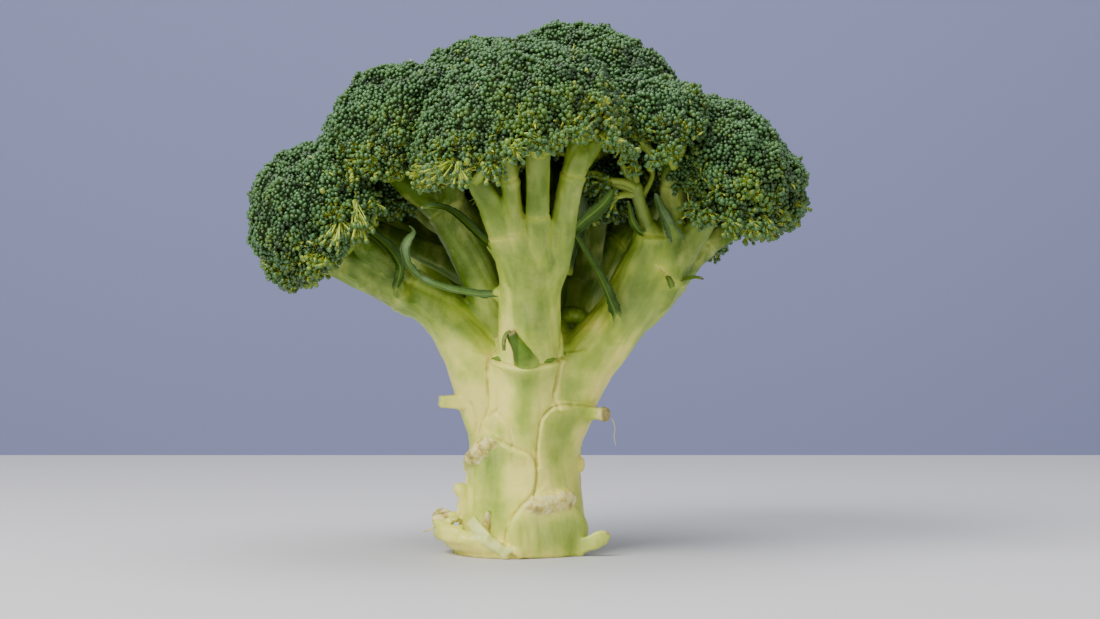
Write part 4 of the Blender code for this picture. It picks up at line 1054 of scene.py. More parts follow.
    # dried threads that hang from the torn places
    for rows in (
        [(28.6, -11.4, 45.6, 0.22), (29.6, -11.8, 42.6, 0.14), (29.3, -12.0, 39.6, 0.12), (29.9, -12.2, 36.4, 0.10)],
        [(-29.8, -6.0, 10.0, 0.30), (-32.4, -6.6, 8.0, 0.26), (-34.6, -7.2, 7.6, 0.16)],
    ):
        threads, faces, along = tube_mesh(catmull(rows, 0.5), 6)
        pile.add(threads, faces, 0, green=0.05, crease=0.0, cut=0.75, fresh=0.0, streak=0.0, cork=0.25)
    return pile.object("stalk_and_branches", [material])


# =====================================================================
# Bud heads
# =====================================================================
class Lobe:
    """A bud head's surface: how far it reaches along each direction."""

    def __init__(self, name, index=0):
        centre, wide, high, below, facing, flats = LOBES[name][index]
        self.name = name
        self.c = np.array(centre, float)
        self.wide, self.high, self.below = wide, high, below
        self.u = unit(np.array(facing, float))
        self.v = unit(np.cross(self.u, (0.3, 0.9, 0.1)))
        self.w = np.cross(self.u, self.v)
        self.planes = [(unit(np.array(n, float)), d) for n, d in flats]
        if index == 0:
            for other, lobes in LOBES.items():
                if other == name:
                    continue
                centre2, wide2, high2 = lobes[0][:3]
                way = np.array(centre2, float) - self.c
                apart = np.linalg.norm(way)
                size, size2 = (wide + high) / 2, (wide2 + high2) / 2
                if apart > size + size2 + 4:
                    continue
                share = 0.5 + (size * size - size2 * size2) / (2 * apart * apart)
                self.planes.append((way / apart, share * apart - 0.3))
        self.seed = sum(map(ord, name)) + 101 * index
        self.clusters = None

    def dome(self, W):
        along = W @ self.u
        r = 1 / np.sqrt((along / self.high) ** 2 + (1 - along * along) / self.wide ** 2)
        return r - 2.3 + 1.5 * fbm((self.c + W * r[:, None]) / 16.0, 2, self.seed)

    def base(self, W):
        """How far the bare dome reaches along each direction."""
        along = W @ self.u
        total = self.dome(W) ** -9.0
        under = along < -0.01
        total = total + np.where(under, (self.below / np.where(under, -along, 1)) ** -9.0, 0)
        for normal, distance in self.planes:
            toward = W @ normal
            ok = toward > 0.01
            total = total + np.where(ok, (distance / np.where(ok, toward, 1)) ** -9.0, 0)
        return total ** (-1 / 9.0)

    def set_clusters(self, spacing):
        W = fibonacci(int(4 * np.pi * (self.wide / (spacing * 0.35)) ** 2), self.seed)
        P = self.c + W * self.base(W)[:, None]
        keep = poisson(P, spacing * 0.86, np.random.default_rng(self.seed))
        self.clusters = P[keep]
        local = np.random.default_rng(self.seed + 7)
        self.cluster_rise = local.uniform(0.7, 1.5, len(keep))
        self.cluster_lift = local.normal(0, 0.55, len(keep))
        self.spacing = spacing

    def nearest_cluster(self, P):
        first = np.zeros(len(P), np.int64)
        dist = np.zeros(len(P))
        for start in range(0, len(P), 8000):
            part = P[start : start + 8000]
            d = np.linalg.norm(part[:, None, :] - self.clusters[None], axis=2)
            first[start : start + 8000] = d.argmin(1)
            dist[start : start + 8000] = d.min(1)
        return first, dist

    def reach(self, W, grow=0.0):
        r = self.base(W)
        P = self.c + W * r[:, None]
        first, d = self.nearest_cluster(P)
        dome = 1 - (d / (0.60 * self.spacing)) ** 2
        r = r + 1.35 * self.cluster_rise[first] * np.maximum(dome, -0.7) + self.cluster_lift[first] * smoothstep(0.0, 0.5, dome)
        return r + grow

    def surface(self, W, grow=0.0):
        return self.c + W * self.reach(W, grow)[:, None]

    def normals(self, W):
        """The dome's own outward direction where each direction meets it."""
        e = 0.026
        a = unit(np.cross(W, self.v + 0.01))
        b = np.cross(W, a)
        p0 = self.surface(unit(W + a * e))
        p1 = self.surface(unit(W - a * e))
        p2 = self.surface(unit(W + b * e))
        p3 = self.surface(unit(W - b * e))
        n = unit(np.cross(p0 - p1, p2 - p3))
        return n * np.sign((n * W).sum(1))[:, None]


def inside_lobe(P, shape, depth):
    """Whether each point lies deeper than depth inside that head's dome."""
    centre, wide, high, below, facing, flats = shape
    rel = P - np.array(centre)
    u = unit(np.array(facing, float))
    along = rel @ u
    out = np.sqrt(np.maximum((rel ** 2).sum(1) - along * along, 0))
    inside = (np.sqrt((along / (high - depth)) ** 2 + (out / (wide - depth)) ** 2) < 1) & (along > -below - 1)
    for normal, distance in flats:
        inside &= rel @ unit(np.array(normal, float)) < distance
    return inside


def fibonacci(n, seed=0):
    k = np.arange(n) + 0.5
    z = 1 - 2 * k / n
    a = k * 2.399963229728653 + seed
    s = np.sqrt(np.maximum(0, 1 - z * z))
    return np.stack([s * np.cos(a), s * np.sin(a), z], 1)


def poisson(P, spacing, generator):
    """Indices of points none closer than spacing, from a shuffled pass."""
    order = generator.permutation(len(P))
    cell = spacing
    grid = {}
    keep = []
    keys = np.floor(P / cell).astype(int)
    s2 = spacing * spacing
    pts = P.tolist()
    kk = keys.tolist()
    for i in order.tolist():
        x, y, z = pts[i]
        a, b, c = kk[i]
        clear = True
        for da in (-1, 0, 1):
            for db in (-1, 0, 1):
                for dc in (-1, 0, 1):
                    for (px, py, pz) in grid.get((a + da, b + db, c + dc), ()):
                        if (px - x) ** 2 + (py - y) ** 2 + (pz - z) ** 2 < s2:
                            clear = False
                            break
                    if not clear:
                        break
                if not clear:
                    break
            if not clear:
                break
        if clear:
            grid.setdefault((a, b, c), []).append((x, y, z))
            keep.append(i)
    return np.array(keep)


def spread(lobe, W, spacing, times):
    """Pushes crowded points apart over the dome, so that they pack evenly."""
    for _ in range(times):
        P = lobe.surface(W)
        tree = kdtree.KDTree(len(P))
        for i, p in enumerate(P.tolist()):
            tree.insert(p, i)
        tree.balance()
        near = np.zeros((len(P), 6), np.int64)
        for i, p in enumerate(P.tolist()):
            found = tree.find_n(p, 7)
            near[i] = [f[1] for f in found if f[1] != i][:6]
        way = P[:, None] - P[near]
        dist = np.maximum(np.linalg.norm(way, axis=2), 1e-3)
        force = np.maximum(0, spacing * 1.12 - dist)
        step = (way / dist[..., None] * force[..., None]).sum(1) * 0.35
        W = unit(P + step - lobe.c)
    return W


def bud_shape(kind, sides=7):
    """One bud, base at -0.6, tip at 1, half width 1 at its widest."""
    generator = np.random.default_rng(300 + kind)
    rings = [(-0.55, 0.52), (0.12, 1.00), (0.64, 0.84)]
    ang = (np.arange(sides) + 0.5 * (kind % 2)) / sides * 2 * np.pi
    co, high = [], []
    lean = generator.normal(0, 0.13, 2)
    flat = 1 + generator.normal(0, 0.08)
    for h, r in rings:
        four = 1 + 0.12 * np.cos(4 * ang) * smoothstep(0.0, 0.8, h)
        rr = r * four * (1 + generator.normal(0, 0.05, sides))
        co.append(np.stack([rr * flat * np.cos(ang) + lean[0] * h, rr / flat * np.sin(ang) + lean[1] * h, np.full(sides, h) + 0.07 * np.cos(4 * ang) + generator.normal(0, 0.02, sides)], 1))
        high.append(np.full(sides, (h + 0.6) / 1.6))
    co = np.concatenate(co + [np.array([[lean[0], lean[1], 0.96]])])
    high = np.concatenate(high + [np.array([1.0])])
    n = len(rings)
    i = np.arange(n - 1)[:, None] * sides
    k = np.arange(sides)[None]
    k2 = (k + 1) % sides
    quads = np.stack([i + k, i + k2, i + sides + k2, i + sides + k], -1).reshape(-1, 4)
    k = np.arange(sides)
    top = (n - 1) * sides
    tris = np.stack([top + k, top + (k + 1) % sides, np.full(sides, n * sides)], -1)
    return co, quads, tris, high


BUDS = [bud_shape(k) for k in range(8)]


def frames_for(axis, generator):
    """A random turn about each axis: three unit vectors a point."""
    axis = unit(axis)
    ref = np.where(np.abs(axis[:, 2:3]) < 0.9, np.array([[0.0, 0.0, 1.0]]), np.array([[1.0, 0.0, 0.0]]))
    a = unit(np.cross(axis, ref))
    b = np.cross(axis, a)
    t = generator.uniform(0, 2 * np.pi, len(axis))[:, None]
    return a * np.cos(t) + b * np.sin(t), b * np.cos(t) - a * np.sin(t), axis


def add_buds(pile, P, axis, half, long, tint, yellow, generator, dim=None):
    # the last values are painted shade, darkening buds that sit in the gaps; none if not given
    dim = np.zeros(len(P)) if dim is None else dim
    a, b, c = frames_for(axis, generator)
    kinds = generator.integers(0, len(BUDS), len(P))
    for kind, (shape, quads, tris, high) in enumerate(BUDS):
        mine = np.flatnonzero(kinds == kind)
        if not len(mine):
            continue
        x = shape[None, :, 0:1] * half[mine, None, None] * a[mine, None]
        y = shape[None, :, 1:2] * half[mine, None, None] * b[mine, None]
        z = shape[None, :, 2:3] * long[mine, None, None] * c[mine, None]
        co = P[mine, None] + x + y + z
        step = (np.arange(len(mine)) * len(shape))[:, None, None]
        pile.add(co.reshape(-1, 3), [(quads[None] + step).reshape(-1, 4), (tris[None] + step).reshape(-1, 3)], 0,
                 high=np.tile(high, len(mine)), tint=np.repeat(tint[mine], len(shape)), yellow=np.repeat(yellow[mine], len(shape)), dim=np.repeat(dim[mine], len(shape)))


def add_threads(pile, start, mid, end, radius, high, generator, sides=5):
    """Thin stalks through three points each."""
    rows = np.stack([start, mid, end], 1)
    sa, sb, _ = frames_for(unit(end - start), generator)
    ang = np.arange(sides) / sides * 2 * np.pi
    ring = sa[:, None, None] * np.cos(ang)[None, None, :, None] + sb[:, None, None] * np.sin(ang)[None, None, :, None]
    thick = np.asarray(radius, float)
    thick = thick[None, :, None, None] if thick.ndim == 1 else thick[:, :, None, None]
    co = (rows[:, :, None] + ring * thick).reshape(-1, 3)
    i = np.arange(2)[:, None] * sides
    k = np.arange(sides)[None]
    k2 = (k + 1) % sides
    quad = np.stack([i + k, i + k2, i + sides + k2, i + sides + k], -1).reshape(-1, 4)
    step = (np.arange(len(start)) * 3 * sides)[:, None, None]
    pile.add(co, [(quad[None] + step).reshape(-1, 4)], 1, high=np.tile(np.repeat(high, sides), len(start)))


def add_spray(pile, hub, toward, count, length, spread_, root, generator):
    """A loose bunch: stalks that part at the hub, a bud on each, and the stalk they share."""
    hub, toward, root = (np.array(v, float) for v in (hub, toward, root))
    way = unit(toward - hub)
    side = unit(np.cross(way, (0.2, 0.3, 0.9)))
    other = np.cross(way, side)
    turn = np.arange(count) * 2.39996 + generator.uniform(0, 6)
    lean = spread_ * 1.5 * np.sqrt((np.arange(count) + 0.5) / count)
    rays = unit(way + (side * (np.cos(turn) * lean)[:, None] + other * (np.sin(turn) * lean)[:, None]) + generator.normal(0, 0.05, (count, 3)))
    size = length * generator.uniform(0.62, 1.08, count) * (1 - 0.18 * (lean / max(lean.max(), 1e-6)) ** 2)
    start = hub + generator.normal(0, 0.35, (count, 3))
    end = hub + rays * size[:, None] + np.array([0, 0, -0.5]) * generator.uniform(0, 1, (count, 1))
    mid = (start + end) / 2 - unit(rays - way * (rays @ way)[:, None]) * 0.10 * length * spread_ + generator.normal(0, 0.25, (count, 3))
    add_threads(pile, start, mid, end, (0.34, 0.26, 0.34), (0.15, 0.45, 0.9), generator, 6)
    half = generator.uniform(0.66, 0.94, count)
    bud_axis = unit(rays + generator.normal(0, 0.12, (count, 3)))
    add_buds(pile, end + bud_axis * 0.7, bud_axis, half, half * generator.uniform(1.25, 1.6, count), generator.uniform(0.1, 0.8, count), np.clip(generator.normal(0.40, 0.24, count), 0, 1), generator)
    # a second, smaller whorl fills the bunch
    few = max(4, count)
    pick = generator.choice(count, few, replace=True)
    aside = unit(rays[pick] + generator.normal(0, 0.35, (few, 3)))
    begin = start[pick] + rays[pick] * (size[pick] * 0.45)[:, None]
    stop = begin + aside * (size[pick] * generator.uniform(0.32, 0.5, few))[:, None]
    add_threads(pile, begin, (begin + stop) / 2, stop, (0.26, 0.20, 0.28), (0.3, 0.5, 0.9), generator, 5)
    half = generator.uniform(0.54, 0.84, few)
    add_buds(pile, stop + aside * 0.5, aside, half, half * 1.4, generator.uniform(0.0, 0.6, few), generator.uniform(0.0, 0.6, few), generator)
    gap = np.linalg.norm(hub - root)
    if gap > 1.0:
        bend = (root + hub) / 2 + generator.normal(0, 0.05 * gap, 3) - way * 0.06 * gap
        path = catmull([(*root, 1.5), (*bend, 1.2), (*hub, 1.05), (*(hub + way * 1.2), 0.7)], 1.2)
        co, faces, t = tube_mesh(path, 8)
        pile.add(co, faces, 1, high=0.25 + 0.3 * t)


def branch_ends():
    ends = []
    for runs in BRANCHES.values():
        for run in runs:
            for at in (run[-1], run[-2]):
                ends.append((np.array(at[:3], float), at[3]))
    return ends


def bring_forward(lobe, spray):
    """Moves a spray along the line of sight to the front of its head's rim."""
    hub, toward, count, length, spread_, root = spray
    hub, toward, root = (np.array(v, float) for v in (hub, toward, root))
    eye = np.array([8.0, -800.0, 85.0])
    way = unit(hub - eye)
    far = np.linalg.norm(hub - eye)
    t = np.arange(far - 45.0, far + 0.25, 0.25)
    Q = eye + way * t[:, None] - lobe.c
    W = unit(Q)
    r = np.linalg.norm(Q, axis=1)
    inside = r < lobe.base(W) + 0.6
    level = W - lobe.u * (W @ lobe.u)[:, None]
    flat = unit(level)
    out = np.linalg.norm(Q - lobe.u * (Q @ lobe.u)[:, None], axis=1)
    under = (Q @ lobe.u < 0) & (out < lobe.base(flat + lobe.u * 0.02) - 1.0)
    found = np.flatnonzero(inside | under)
    shift = way * (t[found[0]] - far + 0.8) if len(found) else np.zeros(3)
    return hub + shift, toward + shift, count, length, spread_, root + shift * 0.75


def build_head(pile, name, index, clear=()):
    lobe = Lobe(name, index)
    generator = np.random.default_rng(lobe.seed)
    lobe.set_clusters(9.0 if index == 0 else 6.5)
    spacing = 1.17 if index == 0 else 1.28

    # which bunches carry buds: the dome, its rim, and a ragged edge below it
    rel = lobe.clusters - lobe.c
    along = rel @ lobe.u
    out = np.linalg.norm(rel - along[:, None] * lobe.u, axis=1)
    rim_out = np.percentile(out, 92)
    chance = generator.uniform(0, 1, len(along))
    carries = (along > -lobe.below * 0.5) | (out > rim_out * 0.78) | ((out > rim_out * 0.62) & (chance < 0.30))

    W = fibonacci(int(4 * np.pi * (lobe.wide * 1.05 / (spacing * 0.60)) ** 2), lobe.seed * 0.1)
    P = lobe.surface(W)
    first, _ = lobe.nearest_cluster(P)
    deep = np.zeros(len(P), bool)
    for other, lobes in LOBES.items():
        if other != name or index > 0:
            deep |= inside_lobe(P, lobes[0], 6.5)
    keep = carries[first] & ~deep
    W, P = W[keep], P[keep]
    chosen = poisson(P, spacing * 0.80, generator)
    W = W[chosen]
    W = spread(lobe, W, spacing, 3)
    P = lobe.surface(W)
    N = lobe.normals(W)
    free = np.ones(len(P), bool)
    for hub, toward, count, length, spread_, root in clear:
        way = unit(toward - hub)
        at = np.clip((P - hub) @ way, -1.0, length)
        gap = np.linalg.norm(P - hub - at[:, None] * way, axis=1)
        free &= gap > 0.9 + 0.50 * spread_ * at
    W, P, N = W[free], P[free], N[free]
    first, _ = lobe.nearest_cluster(P)
    along = (P - lobe.c) @ lobe.u
    low = smoothstep(lobe.high * 0.62, -lobe.below * 0.4, along)

    # little bunches of a few buds each stand up from the dome and lean apart
    f1, way = worley(P / 3.9, lobe.seed + 5)
    bulge = np.maximum(1 - (f1 / 0.50) ** 2, -1.1)
    f2, _ = worley(P / 8.5, lobe.seed + 9)
    gap = np.maximum(1 - (f2 / 0.55) ** 2, -1.0)
    tangent = way - N * (way * N).sum(1)[:, None]
    P = P + N * (1.05 * bulge * (0.75 + 0.5 * low) + 0.55 * gap)[:, None]
    # painted shade: buds sunk low between the small bunches and the larger clumps get a darker value
    dim = np.clip(0.85 * smoothstep(0.15, -1.0, bulge) + 0.45 * smoothstep(0.0, -1.0, gap), 0, 1)
    fan = unit(P - (lobe.clusters[first] - unit(lobe.clusters[first] - lobe.c) * 8.0))
    axis = unit(N * 0.60 + fan * 0.42 - tangent * (0.95 + 0.6 * low[:, None]) + generator.normal(0, 0.20, P.shape) * (1 + 0.8 * low[:, None]))
    drop = np.array([0.0, 0.0, -1.0]) * (generator.uniform(0, 1.3, len(P)) * smoothstep(0.75, 1.0, low))[:, None]
    P = P + drop + N * generator.normal(0, 0.22 + 0.25 * low, len(P))[:, None]

    half = spacing * 0.5 * 1.22 * np.clip(generator.normal(1.0, 0.16, len(P)), 0.60, 1.36) * (0.97 + 0.10 * low) * (1 + 0.14 * fbm(P / 9.0, 2, lobe.seed + 91))
    long = half * generator.uniform(1.15, 1.75, len(P))
    patch = fbm(P / 8.0, 3, lobe.seed + 31)
    loose = smoothstep(-0.15, 0.55, patch) * 0.62 + 0.16
    half_way = smoothstep(lobe.high * 1.0, lobe.high * 0.2, along)
    yellow = np.clip(low * loose + 0.20 * smoothstep(0.30, 0.65, patch) + 0.30 * half_way * smoothstep(0.0, 0.5, patch) + generator.normal(0, 0.10, len(P)) * (0.4 + low), 0, 1)
    bright = generator.uniform(0, 1, len(P)) < 0.004 + 0.06 * low * loose
    yellow = np.where(bright, generator.uniform(1.1, 1.5, len(P)), np.clip(yellow * 1.25, 0, 1))
    tint = np.clip(0.40 + 0.30 * fbm(P / 22.0, 2, lobe.seed + 51) + generator.normal(0, 0.26, len(P)) - 0.28 * low, 0, 1)
    add_buds(pile, P, axis, half, long, tint, yellow, generator, dim)

    # the dark filling behind the buds, hollowed below: a near-black sheet of painted shade inside the head
    import bmesh
    bm = bmesh.new()
    bmesh.ops.create_icosphere(bm, subdivisions=5 if index == 0 else 4, radius=1.0)
    Wf = unit(np.array([v.co[:] for v in bm.verts]))
    tris = np.array([[v.index for v in f.verts] for f in bm.faces])
    bm.free()
    al = Wf @ lobe.u
    rf = lobe.reach(Wf, -2.5)
    rf = np.maximum(rf * (1 - 0.66 * smoothstep(-0.04, -0.55, al)), 1.0)
    pile.add(lobe.c + Wf * rf[:, None], [tris], 2, high=0.0)

    # short stalks under the buds that stand near the rim
    inward = unit(lobe.c - lobe.u * 2.0 - lobe.clusters[first])
    hub = lobe.clusters[first] + inward * 6.2 - lobe.u * 1.6
    near_rim = np.flatnonzero(low > 0.50)
    if len(near_rim):
        a = hub[near_rim] + (lobe.clusters[first[near_rim]] - hub[near_rim]) * generator.uniform(0.05, 0.5, (len(near_rim), 1))
        b = P[near_rim] - axis[near_rim] * (long[near_rim] * 0.45)[:, None]
        add_threads(pile, a, (a + b) / 2 + generator.normal(0, 0.25, a.shape) - axis[near_rim] * 0.3, b, (0.34, 0.28, 0.38), (0.5, 0.75, 1.0), generator)

    # stalks from the branch ends to the bunches at the rim
    ends = []
    for e, r in branch_ends():
        rel = e - lobe.c
        al1 = rel @ lobe.u
        if (rel @ rel - al1 * al1) < (lobe.wide * 0.95) ** 2 and -26 < al1 < 16:
            ends.append((e, r))
    ends = ends or [(lobe.c - lobe.u * lobe.below, 3.0)]
    end_at = np.array([e for e, _ in ends])
    rim = smoothstep(lobe.high * 0.42, -lobe.below * 0.6, (lobe.clusters - lobe.c) @ lobe.u)
    buried = index > 0 and name == "floret_left"
    if buried:
        rim = rim * 0
    for ci in np.flatnonzero(carries & (rim > 0.35)):
        spot = lobe.clusters[ci]
        into = unit(lobe.c - lobe.u * 2.0 - spot)
        meet = spot + into * 6.2 - lobe.u * 1.6
        k = int(np.argmin(np.linalg.norm(end_at - meet, axis=1)))
        gap = np.linalg.norm(meet - end_at[k])
        if gap > 30:
            continue
        bend = (end_at[k] + meet) / 2 - lobe.u * (0.10 * gap) + generator.normal(0, 0.6, 3)
        tip = meet + (spot - meet) * 0.45
        r0 = min(2.4, ends[k][1] * 0.8)
        co, faces, t = tube_mesh(catmull([(*end_at[k], r0), (*bend, (r0 + 1.2) / 2), (*meet, 1.15), (*tip, 0.9)], 2.2), 7)
        pile.add(co, faces, 1, high=t * 0.5)

    # sprays hanging out all round the rim
    count = 0 if buried else (5 if index else 12)
    turns = (np.arange(count) + generator.uniform(-0.3, 0.3, count)) / max(count, 1) * 2 * np.pi
    for turn in turns:
        tilt = generator.uniform(0.02, 0.20)
        d = unit((lobe.v * math.cos(turn) + lobe.w * math.sin(turn)) * math.cos(tilt) - lobe.u * math.sin(tilt))[None]
        reach = lobe.base(d)[0]
        if reach < lobe.dome(d)[0] * 0.86 or (name == "floret_inner_right" and d[0][1] < 0.2):
            continue
        spot = lobe.c + d[0] * reach
        hidden = any(inside_lobe(spot[None], lobes[0], 2.0)[0] for other, lobes in LOBES.items() if other != name)
        if hidden:
            continue
        start = spot - d[0] * 5.4 - lobe.u * generator.uniform(0.0, 1.2)
        aim = unit(d[0] * generator.uniform(0.35, 0.8) - lobe.u * 0.8 + np.array([0, 0, -0.25]) + generator.normal(0, 0.15, 3))
        k = int(np.argmin(np.linalg.norm(end_at - start, axis=1)))
        root = end_at[k] if np.linalg.norm(end_at[k] - start) < 22 else start - d[0] * 5 + lobe.u * 2
        add_spray(pile, start, start + aim * 6, int(generator.integers(10, 16)), generator.uniform(5.5, 8.0), generator.uniform(0.42, 0.6), root, generator)

    # pale slips of tissue between the buds
    pick = np.flatnonzero(generator.uniform(0, 1, len(P)) < 0.006 + 0.055 * low * loose)
    flat = generator.normal(0, 1, (len(pick), 3))
    flat = unit(flat - N[pick] * (flat * N[pick]).sum(1)[:, None])
    begin = P[pick] - N[pick] * 0.9
    stop = begin + flat * generator.uniform(1.2, 2.6, (len(pick), 1)) + N[pick] * generator.uniform(1.0, 2.1, (len(pick), 1))
    middle = (begin + stop) / 2 + N[pick] * 0.5
    add_threads(pile, begin, middle, stop, (0.24, 0.32, 0.08), (0.9, 1.0, 1.0), generator, 5)
    return len(P)


def build_floret(name, mats):
    pile = Pile(["high", "tint", "yellow", "dim"])
    buds = 0
    main = Lobe(name)
    sprays = [bring_forward(main, spray) for spray in SPRAYS.get(name, ())]
    for index in range(len(LOBES[name])):
        buds += build_head(pile, name, index, () if index else sprays)
    generator = np.random.default_rng(sum(map(ord, name)) + 5)
    for spray in sprays:
        add_spray(pile, *spray, generator)
    if name == "floret_inner_right":
        for rows in (
            [(36.6, -20.9, 119.6, 1.7), (36.0, -21.6, 124.5, 1.5), (35.5, -22.2, 129.0, 1.3), (35.0, -22.8, 133.0, 1.1)],
            [(36.5, -21.0, 119.5, 1.5), (32.9, -22.5, 121.7, 1.25), (29.0, -24.0, 123.0, 1.1), (25.7, -25.0, 124.9, 0.9)],
            [(38.0, -20.2, 118.6, 1.1), (40.4, -20.2, 122.6, 0.9), (41.8, -19.6, 126.3, 0.85), (41.0, -19.0, 129.8, 0.75)],
            [(36.4, -21.2, 121.0, 1.3), (33.6, -23.0, 125.0, 1.1), (31.5, -24.5, 129.5, 0.9)],
        ):
            co, faces, t = tube_mesh(catmull(rows, 0.8), 10)
            pile.add(co, faces, 1, high=0.15 + 0.3 * t)
    obj = pile.object(name + "_buds", mats)
    print(name, "buds", buds, "faces", len(obj.data.polygons))
    return obj


# =====================================================================
# Leaves
# =====================================================================
LEAVES = {
    "leaf_left_curled": ([(-7.4, -23.0, 88.0), (-9.7, -24.5, 86.8), (-14.9, -26.0, 86.6), (-20.0, -27.0, 87.3), (-25.2, -27.5, 88.4), (-30.1, -28.0, 90.0), (-34.3, -28.5, 92.0), (-37.5, -29.0, 95.1),
                          (-39.0, -29.0, 98.3), (-39.3, -29.0, 101.6), (-38.2, -29.5, 104.2), (-36.8, -30.0, 106.1), (-36.6, -31.0, 107.7), (-37.7, -32.0, 109.0)],
                         (2.4, 3.0, 3.6, 3.9, 3.6, 3.3, 3.1, 3.0, 3.0, 3.0, 2.8, 2.3, 1.7, 0.9), (0.1, -0.75, 0.65), 0.26, "grey"),
    "leaf_left_upper": ([(-8.9, -29.0, 100.6), (-10.8, -31.0, 102.2), (-14.7, -32.5, 105.4), (-18.2, -33.5, 108.6), (-22.1, -34.0, 112.1), (-25.6, -34.5, 114.1), (-29.5, -34.5, 114.9), (-33.7, -34.0, 114.4)],
                        (2.0, 2.8, 3.1, 3.3, 3.1, 2.8, 2.5, 1.5), (0.3, -0.8, 0.6), 0.42, "green"),
    "leaf_far_left": ([(-42.2, -19.5, 86.3), (-42.5, -21.0, 89.3), (-41.6, -21.5, 92.2), (-41.2, -22.0, 95.5), (-42.7, -22.5, 98.8), (-45.1, -23.0, 102.0), (-48.7, -23.5, 105.3), (-52.6, -24.0, 107.9)],
                      (1.4, 2.4, 3.2, 3.7, 4.1, 4.0, 3.4, 2.0), (0.2, -1.0, 0.3), 0.34, "green"),
    "leaf_right_upper": ([(10.9, -30.0, 99.0), (12.2, -31.5, 102.5), (14.8, -32.5, 106.7), (19.0, -33.0, 110.9), (23.2, -33.5, 114.3), (26.1, -34.0, 117.3), (28.4, -34.0, 120.9)],
                         (2.2, 2.8, 3.5, 4.3, 4.4, 3.8, 1.7), (0.35, -0.9, 0.1), 0.30, "green"),
    "leaf_right_lower": ([(29.5, -17.0, 76.4), (29.4, -19.0, 80.4), (27.1, -21.2, 86.0), (25.0, -23.2, 90.6), (22.4, -25.2, 95.5), (19.1, -27.2, 101.0), (16.5, -29.2, 104.8), (14.8, -30.7, 107.4)],
                         (3.0, 4.2, 4.6, 3.9, 3.1, 2.7, 2.4, 1.5), (0.7, -0.8, 0.3), 0.34, "green"),
    "leaf_behind": ([(13.9, -20.0, 93.2), (14.6, -19.5, 98.8), (16.6, -19.0, 106.4), (17.9, -19.0, 113.0), (17.9, -19.0, 117.0), (16.9, -20.0, 119.9)],
                    (2.8, 4.2, 5.6, 6.2, 5.2, 2.2), (0.0, -1.0, 0.0), 0.20, "grey"),
    "leaf_twisted": ([(39.4, -20.4, 106.2), (36.8, -22.8, 107.9), (34.8, -24.0, 110.9), (34.0, -24.5, 114.1), (33.2, -25.0, 117.4)],
                     (1.8, 2.3, 2.5, 2.1, 1.1), (0.6, -0.8, 0.1), 0.40, "green"),
    "leaf_blunt": ([(50.6, -16.0, 102.6), (49.8, -19.0, 105.4), (47.4, -21.6, 109.3), (45.0, -23.0, 113.5), (43.4, -23.5, 117.1), (42.2, -24.0, 120.0)],
                   (4.6, 5.2, 4.6, 3.5, 2.6, 1.8), (0.2, -1.0, 0.2), 0.25, "grey"),
    "leaf_back_left": ([(-13.0, 28.5, 74.5), (-12.0, 34.0, 82.0), (-12.6, 38.0, 90.0), (-16.0, 40.5, 99.0), (-21.0, 42.0, 106.0)],
                       (3.6, 6.0, 7.0, 5.8, 2.4), (0.2, 1.0, 0.2), 0.30, "green"),
    "leaf_back_right": ([(15.8, 26.5, 76.5), (15.8, 32.5, 84.5), (17.0, 37.0, 92.0), (20.0, 40.5, 98.5), (22.5, 43.0, 104.5)],
                        (3.2, 5.2, 6.2, 5.0, 2.4), (0.0, 1.0, 0.2), 0.30, "grey"),
    "bract_stalk": ([(-0.6, -21.8, 62.2), (-0.9, -24.0, 64.0), (-1.3, -25.8, 65.6), (-1.9, -27.2, 67.4), (-2.7, -28.2, 69.6), (-3.8, -28.8, 72.0), (-4.6, -29.2, 74.0)],
                    (10.5, 8.6, 7.0, 5.8, 4.6, 3.6, 2.6), (0.0, -1.0, 0.25), -0.10, "green"),
    "bract_right_inner": ([(48.2, -17.0, 89.0), (47.7, -19.0, 90.3), (47.1, -19.6, 91.6), (46.0, -19.6, 92.8)],
                          (1.2, 2.5, 2.5, 1.2), (0.2, -1.0, 0.2), 0.30, "green"),
    "bract_right_outer": ([(51.1, -15.0, 91.3), (53.6, -16.5, 91.9), (56.2, -17.0, 92.4), (58.8, -17.0, 91.8)],
                          (1.3, 1.6, 1.2, 0.7), (0.1, -0.9, 0.5), 0.30, "green"),
}


